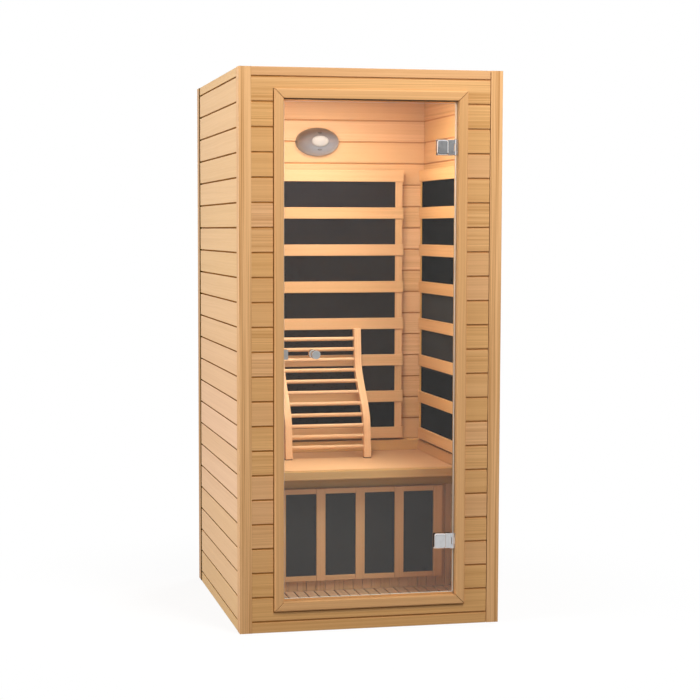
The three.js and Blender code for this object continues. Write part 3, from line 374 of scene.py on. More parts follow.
# The tongue woods are darker copies of the board wood: painted shade inside the seams. The deeper one is used
# behind the outer side walls and the narrow boards.
TONGUE_SEAM_SHADE = ((0.58, 0.29, 0.105, 1), (0.44, 0.205, 0.068, 1))
DEEP_TONGUE_SEAM_SHADE = ((0.27, 0.118, 0.036, 1), (0.17, 0.072, 0.022, 1))


def wood(name, colours, grain="attribute", shift=0.0, tone=0.0, figure=1.0, gloss=0.35, narrow=1.0,
         crossing=0.0):
    made, tree, shader = new_material(name, Specular_IOR_Level=gloss)
    if grain == "attribute":
        place = add_node(tree, "ShaderNodeAttribute", attribute_name="grain").outputs["Vector"]
        board = add_node(tree, "ShaderNodeAttribute", attribute_name="board").outputs["Vector"]
        tone, figure, _ = parts_of(tree, board)
    else:
        axes = parts_of(tree, add_node(tree, "ShaderNodeTexCoord").outputs["Object"])
        first, second, third = (axes[i] for i in GRAIN_ORDER[grain])
        if crossing:
            rails = sum_of(tree, "LESS_THAN", sum_of(tree, "ABSOLUTE", axes[0]), crossing)
            first, second = (sum_of(tree, "MULTIPLY_ADD", rails, sum_of(tree, "SUBTRACT", b, a), a)
                             for a, b in ((first, second), (second, first)))
        place = vector_of(
            tree, sum_of(tree, "ADD", first, shift),
            sum_of(tree, "MULTIPLY", second, narrow), sum_of(tree, "MULTIPLY", third, narrow))
    grown = use_group(
        tree, softwood, Place=place, Light_Wood=colours[0], Dark_Wood=colours[1],
        Tone=tone, Figure=figure)
    feed(tree, shader.inputs["Base Color"], grown["Color"])
    feed(tree, shader.inputs["Roughness"], grown["Roughness"])
    raise_surface(tree, shader, grown["Height"], 0.35, 0.0005)
    return made


outer_boards_wood = wood("outer hemlock boards", OUTER)
side_boards_lit_wood = wood("side hemlock boards, painted lighter", SIDE_PAINTED_LIGHTER)
room_boards_wood = wood("room hemlock boards", ROOM)
side_room_shaded_wood = wood("side room hemlock boards, painted shade", SIDE_ROOM_SHADED)
bench_boards_wood = wood("bench hemlock", BENCH)
floor_lit_wood = wood("floor hemlock, painted lighter", FLOOR_PAINTED_LIGHTER)
kick_shaded_wood = wood("kick hemlock, painted shade", KICK_SHADED)
backrest_lit_wood = wood("backrest hemlock, painted lighter", REST_PAINTED_LIGHTER)
dowel_shaded_wood = wood("dowel hemlock, painted darker", DOWELS_PAINTED_DARKER)
seam_shade_tongue_wood = wood("tongue hemlock with painted seam shade", TONGUE_SEAM_SHADE, gloss=0.0)
deep_seam_shade_tongue_wood = wood("tongue hemlock with deep painted seam shade", DEEP_TONGUE_SEAM_SHADE, gloss=0.0)
print("wood finishes", [m.name for m in bpy.data.materials if "hemlock" in m.name])

# %% [markdown]
# ## Boards
# Each wall is clad with separate tongued boards. In mesh code a board is a box, or an outline with
# a notch where it meets the door casing, pushed back to its thickness. Two attributes are written
# while it is made: where each point lies in the grain, and the board's tone and figure. A
# Bevel modifier then eases all edges of the wall at once, which catches the light beside a seam.

# %% Board helpers
draw = random.Random(417)


def start_boards():
    boards = bmesh.new()
    boards.verts.layers.float_vector.new("grain")
    boards.verts.layers.float_vector.new("board")
    boards.edges.layers.float.new("bevel_weight_edge")
    return boards


def mark_board(boards, verts, grain, tongue=False, figure=None, tone=None):
    """Writes one board's grain place, tone and figure, and gives a tongue the second material."""
    shift = Vector((draw.uniform(0, 30), draw.uniform(0, 30), draw.uniform(0, 30)))
    tone = draw.uniform(-1.0, 1.0) if tone is None else tone
    figure = draw.choice((0.3, 0.5, 0.75, 1.0, 1.25)) if figure is None else figure
    order = GRAIN_ORDER[grain]
    place = boards.verts.layers.float_vector["grain"]
    board = boards.verts.layers.float_vector["board"]
    for v in verts:
        v[place] = Vector([v.co[i] for i in order]) + shift
        v[board] = (tone, figure, 0.0)
    for face in {f for v in verts for f in v.link_faces}:
        face.material_index = 1 if tongue else 0
    weight = boards.edges.layers.float["bevel_weight_edge"]
    for edge in {e for v in verts for e in v.link_edges}:
        run = edge.verts[1].co - edge.verts[0].co
        runs_along = abs(run["XYZ".index(grain)]) > 0.99 * run.length
        edge[weight] = 1.0 if runs_along and not tongue else 0.0


def lay_board(boards, low, high, grain, **looks):
    """A straight board between two corners."""
    low, high = Vector(low), Vector(high)
    verts = bmesh.ops.create_cube(boards, size=1.0)["verts"]
    for v in verts:
        v.co = Vector([a + (b - a) * (c + 0.5) for a, b, c in zip(low, high, v.co)])
    mark_board(boards, verts, grain, **looks)
    return verts


def lay_cut_board(boards, outline, y0, y1, grain, **looks):
    """A board with an outline drawn in X and Z, between two planes across Y."""
    front = [boards.verts.new((x, y0, z)) for x, z in outline]
    back = [boards.verts.new((x, y1, z)) for x, z in outline]
    boards.faces.new(front)
    boards.faces.new(back[::-1])
    for i in range(len(outline)):
        j = (i + 1) % len(outline)
        boards.faces.new((front[j], front[i], back[i], back[j]))
    mark_board(boards, front + back, grain, **looks)
    return front + back


def link_piece(name, mesh, body, materials, replaced=()):
    """Puts a piece into the scene, ties it to its body, gives it its finishes and hides the nodes it stands for.
    """
    piece = bpy.data.objects.new(name, mesh)
    scene.collection.objects.link(piece)
    for material in materials:
        mesh.materials.append(material)
    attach(piece, body)
    if replaced:
        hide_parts(*replaced)
    return piece


def ease_edges(piece, width, segments=2, angle=30, long_edges=False):
    bevel = piece.modifiers.new("eased edges", "BEVEL")
    bevel.width = width
    bevel.segments = segments
    bevel.limit_method = "WEIGHT" if long_edges else "ANGLE"
    bevel.angle_limit = math.radians(angle)
    bevel.harden_normals = True
    bevel.use_clamp_overlap = True
    return bevel


def boards_piece(name, boards, body, material, replaced=(), ease=0.0015, segments=2,
                 long_edges=False, tongue=None):
    bmesh.ops.recalc_face_normals(boards, faces=boards.faces)
    mesh = bpy.data.meshes.new(name)
    boards.to_mesh(mesh)
    boards.free()
    mesh.polygons.foreach_set("use_smooth", [True] * len(mesh.polygons))
    materials = [material]
    if any(p.material_index for p in mesh.polygons):
        materials.append(tongue or seam_shade_tongue_wood)
    piece = link_piece(name, mesh, body, materials, replaced)
    if ease:
        ease_edges(piece, ease, segments, long_edges=long_edges)
    if long_edges:
        eased = [w.value > 0 for w in mesh.attributes["bevel_weight_edge"].data]
        mesh.edges.foreach_set("use_edge_sharp", [not e for e in eased])
    print(name, len(mesh.polygons), "faces before easing")
    return piece


# %% [markdown]
# ## Outside cladding
# All four walls have the same seams: a narrow board at the top and then a board every 83.4 mm. The
# face of a board is 4.6 mm thick here, and the tongues behind it are one thin sheet of darker wood,
# which is painted shade, so that a seam is a real slot that the light doesn't reach. The boards stop
# a little short of the posts; at the back posts a near-black strip stands in the gap as painted
# shade, which gives the dark line there.

# %% Wall values
HEIGHT = 1.905
SEAM_TOP = 1.873
PITCH = 0.0834
SEAM_GAP = 0.0056
SIDE_GAP = 0.0050
FACE_DEPTH = 0.0038
WALL_EASE = 0.0018
POST_GROOVE = 0.013
POST_BEAD = 0.0018
BOARD_DEPTH = 0.007
SIDE_X = 0.457
FRONT_Y = -0.474
BACK_Y = 0.474
POST_X = 0.4147
SIDE_Y0 = -0.4267
SIDE_Y1 = 0.4137
ROUGH = (-0.3168, 0.3108, 0.0937, 1.8123)
INLET = (0.1837, 0.2363, 0.1917, 0.2283)
CASING_GAP = (-0.3414, 0.3323, 0.0675, 1.8338)
ROW_FIGURE = (0.8, 1.35, 1.2, 0.5, 0.4, 0.6, 1.25, 1.1, 0.5, 0.55, 0.4, 1.05, 1.1, 0.5, 0.5, 0.95, 1.0,
              0.5, 0.6, 0.85, 0.5, 0.7, 0.7, 0.6)
# The next list tones the left wall's rows from the top down: painted light and shade by height, darker in the top
# nine rows and the bottom two, lighter between.
LEFT_ROW_LIGHT_AND_SHADE = [-1.2] * 9 + [0.0] * 3 + [1.4] * 2 + [2.6] * 4 + [1.8] + [0.8] * 3 + [-2.4] * 2
# The next table paints light and shade on single front rows: the top row lighter, the second row and the bottom
# three darker.
ROW_LIGHT_AND_SHADE = {0: 0.8, 1: -0.6, 21: -1.2, 22: -1.2, 23: -1.0}


def board_rows(top, gap=SEAM_GAP):
    """Bottom and top of every board, from the top row down, with the seam gap taken off."""
    seams = [SEAM_TOP - PITCH * i for i in range(23)]
    edges = [top] + [s for s in seams if s < top - 0.005] + [0.0]
    rows = []
    for upper, lower in zip(edges, edges[1:]):
        upper -= 0 if upper == top else gap / 2
        lower += 0 if lower == 0.0 else gap / 2
        rows.append((lower, upper))
    return rows


print(len(board_rows(HEIGHT)), "rows outside,", len(board_rows(SEAM_TOP - 0.0003)), "rows inside")

# %% Front and back walls
def cut_outlines(x0, x1, low, high, hole):
    """The outlines left of one board where a hole in the wall crosses it."""
    hx0, hx1, hz0, hz1 = hole
    if high <= hz0 or low >= hz1:
        return [[(x0, low), (x1, low), (x1, high), (x0, high)]]
    if low >= hz0 and high <= hz1:
        return [
            [(x0, low), (hx0, low), (hx0, high), (x0, high)],
            [(hx1, low), (x1, low), (x1, high), (hx1, high)],
        ]
    if low < hz0 and high <= hz1:
        return [[(x0, low), (x1, low), (x1, high), (hx1, high), (hx1, hz0), (hx0, hz0),
                 (hx0, high), (x0, high)]]
    if low >= hz0:
        return [[(x0, low), (hx0, low), (hx0, hz1), (hx1, hz1), (hx1, low), (x1, low),
                 (x1, high), (x0, high)]]
    return [[(x0, low), (x1, low), (x1, high), (x0, high)]]


def across_wall(name, face, inward, x0, x1, top, hole, material, node, cut=None, figures=()):
    """hole is the opening in the tongues; cut is the one in the boards, where that is larger."""
    boards = start_boards()
    looks = boards.verts.layers.float_vector["board"]
    y0, y1 = face, face + inward * FACE_DEPTH
    for row, (low, high) in enumerate(board_rows(top)):
        for outline in cut_outlines(x0, x1, low, high, cut or hole):
            verts = lay_cut_board(boards, outline, y0, y1, "X")
            for v in verts if figures else ():
                v[looks] = (ROW_LIGHT_AND_SHADE.get(row, v[looks][0]), figures[row], 0.0)
    tongue0, tongue1 = sorted((y1, face + inward * BOARD_DEPTH))
    hx0, hx1, hz0, hz1 = hole
    inset = 0.0004
    for low, high in (
        ((x0, 0.002), (hx0 - inset, top)),
        ((hx1 + inset, 0.002), (x1, top)),
        ((hx0 - inset / 2, hz1 + inset), (hx1 + inset / 2, top)),
        ((hx0 - inset / 2, 0.002), (hx1 + inset / 2, hz0 - inset)),
    ):
        lay_board(
            boards, (low[0], tongue0, low[1]), (high[0], tongue1, high[1] - 0.001), "X", tongue=True)
    return boards_piece(name, boards, "cabin", material, [node], WALL_EASE, 3, True)


across_wall("front_cladding", FRONT_Y, 1, -POST_X, POST_X - 0.0022, HEIGHT, ROUGH,
            outer_boards_wood, "front_outer_boards", CASING_GAP, ROW_FIGURE)
across_wall("back_cladding", BACK_Y, -1, -POST_X + 0.0015, POST_X - 0.0015, HEIGHT, INLET,
            outer_boards_wood, "back_outer_boards")

# %% Side walls
def side_wall(name, face, inward, y0, y1, top, material, node, open_end=0.0, figure=None, row_light_and_shade=()):
    """open_end is how far the tongues stop short of the boards at the back post; the last argument adds a tone to
    each row, which paints light and shade by height.
    """
    boards = start_boards()
    looks = boards.verts.layers.float_vector["board"]
    x0, x1 = sorted((face, face + inward * FACE_DEPTH))
    t0, t1 = sorted((face + inward * FACE_DEPTH, face + inward * BOARD_DEPTH))
    for row, (low, high) in enumerate(board_rows(top, SIDE_GAP if open_end else SEAM_GAP)):
        verts = lay_board(boards, (x0, y0, low), (x1, y1, high), "Y", figure=figure)
        for v in verts if row_light_and_shade else ():
            v[looks] = (v[looks][0] + row_light_and_shade[row], v[looks][1], 0.0)
    lay_board(boards, (t0, y0, 0.002), (t1, y1 - open_end, top - 0.001), "Y", tongue=True)
    if open_end:
        # A near-black strip at the back post, toned far down: painted shade for the dark line between boards and
        # post.
        s0, s1 = sorted((face - inward * POST_BEAD, face + inward * BOARD_DEPTH))
        lay_board(boards, (s0, SIDE_Y1 - 0.0022, 0.002), (s1, SIDE_Y1, top - 0.001), "Z", tongue=True,
                  tone=-12.0)
    return boards_piece(name, boards, "cabin", material, [node], WALL_EASE, 3, True,
                        deep_seam_shade_tongue_wood if open_end else seam_shade_tongue_wood)


side_wall("left_cladding", -SIDE_X, 1, SIDE_Y0 + 0.001, SIDE_Y1 - POST_GROOVE, HEIGHT,
          side_boards_lit_wood, "left_outer_boards", 0.030, 0.4, LEFT_ROW_LIGHT_AND_SHADE)
side_wall("right_cladding", SIDE_X, -1, SIDE_Y0 + 0.001, SIDE_Y1 - POST_GROOVE, HEIGHT,
          side_boards_lit_wood, "right_outer_boards", -0.0105, 0.4)

# %% [markdown]
# ## Room lining
# Inside, the walls have the same boards and seams, so the same functions lay them with the room's
# slightly redder wood.

# %% Room walls
ROOM_X = 0.432
ROOM_FRONT_Y = -0.427
ROOM_BACK_Y = 0.4067
ROOM_TOP = SEAM_TOP - 0.0003

across_wall("room_back_lining", ROOM_BACK_Y, 1, -0.4317, 0.4317, ROOM_TOP, INLET,
            room_boards_wood, "back_inner_boards")
across_wall("room_front_lining", ROOM_FRONT_Y, -1, -POST_X, POST_X, HEIGHT, ROUGH,
            room_boards_wood, "front_inner_boards")
# The side linings take the darker copy of the room's wood, which is painted shade.
side_wall("room_left_lining", -ROOM_X, -1, SIDE_Y0, SIDE_Y1, ROOM_TOP,
          side_room_shaded_wood, "left_inner_boards")
side_wall("room_right_lining", ROOM_X, 1, SIDE_Y0, SIDE_Y1, ROOM_TOP,
          side_room_shaded_wood, "right_inner_boards")

# %% [markdown]
# ## Floor, ceiling and the boards under the bench
# These are narrower boards: the floor and ceiling run from front to back, and the wall below the
# bench stands upright. Again each is a row of boxes over a thin sheet of tongues, whose dark wood is
# painted shade; the floor's wood is painted lighter, and the kick boards' darker as painted shade
# under the bench.

# %% Narrow boards
def row_edges(half_width, pitch):
    """Edges of a row of boards that is laid out evenly about the middle."""
    count = math.floor(half_width / pitch - 0.5)
    seams = [(i - count - 0.5) * pitch for i in range(2 * count + 2)]
    seams = [s for s in seams if abs(s) < half_width - 0.006]
    return [-half_width] + seams + [half_width]


def board_row(name, half_width, pitch, gap, face, back, run, axis, material, node):
    """Boards side by side along X. axis is the way each board runs; face and back are on the other."""
    boards = start_boards()
    edges = row_edges(half_width, pitch)
    middle = face + (back - face) * 0.62
    depth0, depth1 = sorted((face, middle))
    sheet0, sheet1 = sorted((middle, back))

    def corner(x, depth, way):
        return (x, way, depth) if axis == "Y" else (x, depth, way)

    for left, right in zip(edges, edges[1:]):
        low = corner(left + gap / 2, depth0, run[0])
        high = corner(right - gap / 2, depth1, run[1])
        lay_board(boards, low, high, axis)
    lay_board(boards, corner(-half_width, sheet0, run[0]), corner(half_width, sheet1, run[1]), axis,
              tongue=True)
    return boards_piece(name, boards, "cabin", material, [node], 0.001, tongue=deep_seam_shade_tongue_wood)


board_row("floor_planks", 0.4317, 0.038, 0.0050, 0.030, 0.023, (-0.4267, 0.4064), "Y",
          floor_lit_wood, "floor_boards")
board_row("ceiling_planks", 0.4497, PITCH, SEAM_GAP, 1.873, 1.880, (SIDE_Y0, SIDE_Y1), "Y",
          room_boards_wood, "ceiling_boards")
board_row("bench_kick_boards", 0.4317, 0.0354, 0.0013, 0.0097, 0.0197, (0.0303, 0.4797), "Z",
          kick_shaded_wood, "bench_front_boards")

# %% [markdown]
# ## Posts, roof and hidden timber
# Posts, bearers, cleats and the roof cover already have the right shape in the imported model. They
# keep it, get a Bevel modifier for eased edges, and a wood whose grain follows the member.

# %% Timber from the frame
def dress(node, material, ease=0.0012, segments=2, angle=30):
    piece = nodes[node]
    piece.data.materials.clear()
    piece.data.materials.append(material)
    if ease:
        ease_edges(piece, ease, segments, angle)
    return piece


post_wood = wood("post hemlock", OUTER, "Z", shift=3.1, tone=0.1, figure=2.7, narrow=1.7,
                 crossing=POST_X)
dress("front_frame", post_wood, 0.0014, 3)
dress("back_frame", wood("back post hemlock", BACK_POST, "Z", shift=8.2, figure=1.1,
                          crossing=POST_X), 0.0014, 3)
dress("roof_cover", wood("roof hemlock", OUTER, "Y", shift=20.0, figure=0.7))
hidden_wood = wood("bearer hemlock", ROOM, "Y", shift=25.0, tone=-0.8)
for node in ("floor_frame", "bench_cleat_left", "bench_cleat_right"):
    dress(node, hidden_wood)
print("timber dressed")

# %% [markdown]
# ## Door casing
# Four members with one section meet at mitres. The section has a proud face with a chamfered outer
# edge and a lining that goes through the wall. Each member is that section run between two slanted
# ends. The ends stop just short of each other, so the mitre shows as a fine dark line.

# %% Casing
OPENING = (-0.3065, 0.3005, 0.104, 1.802)
CASING_SECTION = ((0, -0.484), (0, -0.427), (0.010, -0.427), (0.010, -0.4743), (0.032, -0.4743),
                  (0.032, -0.480), (0.028, -0.484))
MITRE = 0.0009


def casing_member(side):
    boards = start_boards()
    left, right, low, high = OPENING
    rings = ([], [])
    for out_by, y in CASING_SECTION:
        start, end = -out_by + MITRE, out_by - MITRE
        if side in ("top", "bottom"):
            z = high + out_by if side == "top" else low - out_by
            ends = ((left + start, y, z), (right + end, y, z))
        else:
            x = left - out_by if side == "left" else right + out_by
            ends = ((x, y, low + start), (x, y, high + end))
        for ring, point in zip(rings, ends):
            ring.append(boards.verts.new(point))
    boards.faces.new(rings[0])
    boards.faces.new(rings[1][::-1])
    for i in range(len(CASING_SECTION)):
        j = (i + 1) % len(CASING_SECTION)
        boards.faces.new((rings[0][i], rings[1][i], rings[1][j], rings[0][j]))
    grain = "X" if side in ("top", "bottom") else "Z"
    mark_board(boards, boards.verts, grain, tone=draw.uniform(0.0, 0.5), figure=0.55)
    boards_piece("door_casing_" + side, boards, "cabin", outer_boards_wood,
                 ["casing_" + side], 0.0011)


for side in ("top", "bottom", "left", "right"):
    casing_member(side)

# %% [markdown]
# ## Door seal
# A thin dark brown strip lines the head and the two sides of the opening behind the casing, so the
# pane closes against a soft shadow line. Its brown is painted shade: darker at the head and the
# catch side, a paler tan on the hinge side. On the hinge side it is left out where the leaves sit.

# %% Seal
SEAL = 0.0009
SEAL_Y = (-0.4625, -0.4285)
HEAD_SEAL_Y = -0.4738
HINGE_HEIGHTS = (0.292, 1.645)

HEAD_LIP = (0.0034, -0.4655)


def flocked(name, dark, pale):
    made, tree, shader = new_material(name, Specular_IOR_Level=0.1)
    nap = noise(tree, add_node(tree, "ShaderNodeTexCoord").outputs["Object"], scale=900.0, detail=2.0)
    feed(tree, shader.inputs["Base Color"], blend_colours(tree, nap, dark, pale))
    feed(tree, shader.inputs["Roughness"], sum_of(tree, "MULTIPLY_ADD", nap, 0.2, 0.7))
    raise_surface(tree, shader, nap, 0.3, 0.0002)
    return made


dark_shade_seal = flocked("brown seal, painted shade", (0.24, 0.152, 0.088, 1), (0.32, 0.21, 0.125, 1))
pale_shade_seal = flocked("tan seal, paler painted shade", (0.46, 0.31, 0.185, 1), (0.58, 0.40, 0.25, 1))


def seal(name, material, *strips):
    made = start_boards()
    for low, high in strips:
        lay_board(made, low, high, "Z")
    boards_piece(name, made, "cabin", material, (), 0.0003, 1)


left, right, low, high = OPENING
seal("head_seal", dark_shade_seal,
     ((left + 0.0002, HEAD_SEAL_Y, high - SEAL), (right - 0.0002, SEAL_Y[1], high - 0.0001)),
     ((left + 0.0002, HEAD_SEAL_Y, high - HEAD_LIP[0]), (right - 0.0002, HEAD_LIP[1], high - SEAL - 0.0001)))
seal("catch_side_seal", dark_shade_seal,
     ((left + 0.0001, SEAL_Y[0], low + 0.0005), (left + SEAL, SEAL_Y[1], high - 0.0038)))
cuts = [low + 0.0005] + [h + d for h in HINGE_HEIGHTS for d in (-0.0285, 0.0285)] + [high - 0.0015]
for number in range(3):
    seal("hinge_side_seal_" + str(number + 1), pale_shade_seal, (
        (right - SEAL, SEAL_Y[0], cuts[2 * number]), (right - 0.0001, SEAL_Y[1], cuts[2 * number + 1])))

# %% [markdown]
# ## Bench
# The seat is an edge-glued panel: strips that run from wall to wall and lie flush, so only their
# tone tells them apart. A deep nosing with rounded edges closes its front. It is a piece of its
# own because its edges are rounded much more than the others.

# %% Bench seat
BENCH_TOP = 0.498
BENCH_FRONT = -0.1303
NOSING_BACK = -0.1003
BATTEN_DEPTH = 0.030
BATTEN_TOP = 0.5405
strips = start_boards()
strip_edges = [NOSING_BACK + (0.4064 - NOSING_BACK) * i / 6 for i in range(7)]
for y0, y1 in zip(strip_edges, strip_edges[1:]):
    lay_board(strips, (-0.4317, y0 + 0.0001, 0.480), (0.4317, y1 - 0.0001, BENCH_TOP), "X",
              tone=draw.uniform(-0.5, 0.5), figure=draw.uniform(0.4, 0.8))
boards_piece("bench_seat", strips, "cabin", bench_boards_wood, ["bench_top"], 0.0003, 1)
nosing = start_boards()
# The nosing is toned darker: painted shade on its front face, which the light from above hardly reaches.
lay_board(nosing, (-0.4317, BENCH_FRONT, 0.465), (0.4317, NOSING_BACK, BENCH_TOP), "X",
          tone=-3.3, figure=0.6)
boards_piece("bench_nosing", nosing, "cabin", bench_boards_wood, (), 0.005, 4)
# The back batten is toned darker: painted shade in the strip under the back guard.
batten = start_boards()
lay_board(batten, (-0.4313, ROOM_BACK_Y - BATTEN_DEPTH, BENCH_TOP + 0.0005),
          (0.4313, ROOM_BACK_Y - 0.0006, BATTEN_TOP), "X", tone=-2.0, figure=0.5)
boards_piece("bench_back_batten", batten, "cabin", room_boards_wood, (), 0.0015)

# %% [markdown]
# ## Heaters and their guards
# The heaters are flat carbon film panels, dark grey with a faint woven look. In front of each is a
# wooden guard: level slats screwed to two uprights on the walls, upright slats on two rails under
# the bench. Slats and uprights are separate pieces of wood, so each gets its own grain direction.

# %% Carbon film
carbon_weave, given, out = new_group(
    "carbon weave",
    [("Place", "Vector", (0, 0, 0)), ("Dark Film", "Color", (0.03, 0.03, 0.03, 1)),
     ("Pale Thread", "Color", (0.06, 0.06, 0.06, 1)), ("Threads Per Metre", "Float", 420.0),
     ("Middle Panel", "Float", 1.0), ("Middle Top", "Float", 0.0), ("Middle Low", "Float", 0.0)],
    [("Color", "Color"), ("Roughness", "Float"), ("Height", "Float")],
)
px, py, pz = parts_of(carbon_weave, given["Place"])
level_way = sum_of(carbon_weave, "ADD", px, py)
wave_a = sum_of(carbon_weave, "SINE", sum_of(
    carbon_weave, "MULTIPLY", sum_of(carbon_weave, "MULTIPLY", level_way, given["Threads Per Metre"]), 6.2832))
wave_b = sum_of(carbon_weave, "SINE", sum_of(
    carbon_weave, "MULTIPLY", sum_of(carbon_weave, "MULTIPLY", pz, given["Threads Per Metre"]), 6.2832))
thread = between(carbon_weave, sum_of(carbon_weave, "MULTIPLY", wave_a, wave_b), -1.0, 1.0)
cloud = noise(carbon_weave, given["Place"], scale=5.0, detail=3.0)
mixed = sum_of(carbon_weave, "MULTIPLY_ADD", cloud, 0.7, sum_of(carbon_weave, "MULTIPLY", thread, 0.3))
woven_colour = blend_colours(carbon_weave, mixed, given["Dark Film"], given["Pale Thread"])
# A band between two heights is multiplied by one factor: painted light and shade on part of a panel.
in_painted_band = sum_of(
    carbon_weave, "MULTIPLY", sum_of(carbon_weave, "LESS_THAN", pz, given["Middle Top"]),
    sum_of(carbon_weave, "GREATER_THAN", pz, given["Middle Low"]))
feed(carbon_weave, out["Color"], blend_colours(
    carbon_weave, 1.0, woven_colour,
    between(carbon_weave, in_painted_band, 0.0, 1.0, 1.0, given["Middle Panel"]), "MULTIPLY"))
feed(carbon_weave, out["Roughness"], sum_of(carbon_weave, "MULTIPLY_ADD", thread, 0.12, 0.42))
feed(carbon_weave, out["Height"], thread)


def film(name, dark, pale, middle=1.0, top=0.0, low=0.0):
    made, tree, shader = new_material(name, Specular_IOR_Level=0.0)
    woven = use_group(tree, carbon_weave, Place=add_node(tree, "ShaderNodeTexCoord").outputs["Object"],
                      Dark_Film=dark, Pale_Thread=pale, Middle_Panel=middle,
                      Middle_Top=top, Middle_Low=low)
    feed(tree, shader.inputs["Base Color"], woven["Color"])
    feed(tree, shader.inputs["Roughness"], woven["Roughness"])
    raise_surface(tree, shader, woven["Height"], 0.15, 0.0002)
    return made


# The films carry painted light and shade: the back film is darker below 0.713 m; the side films are a near-black
# copy with a lighter band from 0.826 to 1.143 m, a painted reflection; the calf film is a darker copy, painted
# shade under the bench.
carbon = film("carbon film", (0.027, 0.027, 0.0275, 1), (0.066, 0.0655, 0.065, 1), 0.23, 0.713)
calf_carbon_shaded = film("calf carbon film, painted shade", (0.018, 0.018, 0.0185, 1), (0.045, 0.0445, 0.044, 1))
side_carbon_shaded = film("side carbon film, painted shade and light band", (0.0035, 0.0035, 0.0035, 1), (0.010, 0.0098, 0.0095, 1), 6.0, 1.143,
                   0.826)
for node, finish in (("back_heater", carbon), ("left_heater", side_carbon_shaded),
                     ("right_heater", side_carbon_shaded), ("calf_heater", calf_carbon_shaded)):
    dress(node, finish, 0.0008)
print("carbon film on four heaters")

# %% Wall guards
SLAT = 0.044
SLAT_COUNT = 8
GUARD_TOP = 1.596
GUARD_LOW = 0.5475
GUARD_DEPTH = 0.035
SLAT_DEPTH = 0.0075
UPRIGHT = 0.028


def wall_guard(name, to_room, ends, node, material=side_room_shaded_wood, edge_film=0.0):
    """to_room turns (along the wall, off the wall, height) into a point; ends are along the wall."""
    boards = start_boards()

    def part(a0, a1, off0, off1, z0, z1, grain, tone=0.0):
        p, q = to_room(a0, off0, z0), to_room(a1, off1, z1)
        low = [min(a, b) for a, b in zip(p, q)]
        high = [max(a, b) for a, b in zip(p, q)]
        lay_board(boards, low, high, grain, tone=tone + draw.uniform(-0.3, 0.8),
                  figure=draw.uniform(0.3, 0.8))

    level_grain = "X" if to_room(1, 0, 0)[0] - to_room(0, 0, 0)[0] else "Y"
    step = (GUARD_TOP - GUARD_LOW - SLAT) / (SLAT_COUNT - 1)
    for i in range(SLAT_COUNT):
        top = GUARD_TOP - step * i
        part(ends[0], ends[1], GUARD_DEPTH - SLAT_DEPTH, GUARD_DEPTH, top - SLAT, top, level_grain)
    back_of_slat = GUARD_DEPTH - SLAT_DEPTH - 0.0001
    inner = ends[1] - 0.004 - UPRIGHT
    for start, end, tone in ((ends[0] + 0.004, ends[0] + 0.004 + UPRIGHT, 0.0),
                             (inner + edge_film, inner + UPRIGHT, -3.0 if edge_film else 0.0)):
        part(start, end, 0.0003, back_of_slat, 0.553, 1.5905, "Z", tone)
        for i in range(SLAT_COUNT - 1):
            top = GUARD_TOP - step * i - SLAT - 0.0002
            part(start, end, back_of_slat, GUARD_DEPTH - 0.004, top - (step - SLAT) + 0.0004, top, "Z", tone)
    if edge_film:
        edge = start_boards()
        p, q = to_room(inner + 0.0001, 0.021, 0.5535), to_room(inner + edge_film - 0.0002, 0.0272, 1.5900)
        lay_board(edge, [min(a, b) for a, b in zip(p, q)], [max(a, b) for a, b in zip(p, q)], "Z")
        boards_piece(name + "_film_edge", edge, "cabin", side_carbon_shaded, (), 0.0004, 1)
    return boards_piece(name, boards, "cabin", material, [node], 0.0012)


wall_guard("back_guard", lambda a, off, z: (a, ROOM_BACK_Y - off, z), (-0.340, 0.340), "back_heater_guard",
           room_boards_wood)
wall_guard("left_guard", lambda a, off, z: (off - ROOM_X, a, z), (-0.326, 0.3537), "left_heater_guard",
           edge_film=0.016)
wall_guard("right_guard", lambda a, off, z: (ROOM_X - off, a, z), (-0.326, 0.3537), "right_heater_guard",
           edge_film=0.016)

# %% Calf guard
CALF_HALF = 0.3895
CALF_SLAT = 0.034
CALF_LOW, CALF_TOP = 0.072, 0.415
calf = start_boards()
calf_step = (2 * CALF_HALF - CALF_SLAT) / 5
for i in range(6):
    left = -CALF_HALF + calf_step * i
    lay_board(calf, (left, -0.0139, CALF_LOW), (left + CALF_SLAT, -0.0052, CALF_TOP), "Z",
              tone=draw.uniform(-0.4, 0.4), figure=0.6)
    if i == 5:
        continue
    for z0, z1 in ((CALF_LOW, CALF_LOW + 0.019), (CALF_TOP - 0.019, CALF_TOP)):
        lay_board(calf, (left + CALF_SLAT + 0.0002, -0.0109, z0),
                  (left + calf_step - 0.0002, -0.0049, z1), "X", tone=0.0, figure=0.6)
boards_piece("calf_guard", calf, "cabin", room_boards_wood, ["calf_heater_guard"], 0.0012)

# %% [markdown]
# ## Metals
# The hinges and knobs are polished steel, the lamp is satin nickel. Both show fine lines from
# the polishing wheel and a few soft smudges: one group draws both, and each metal uses them with
# its own strength.

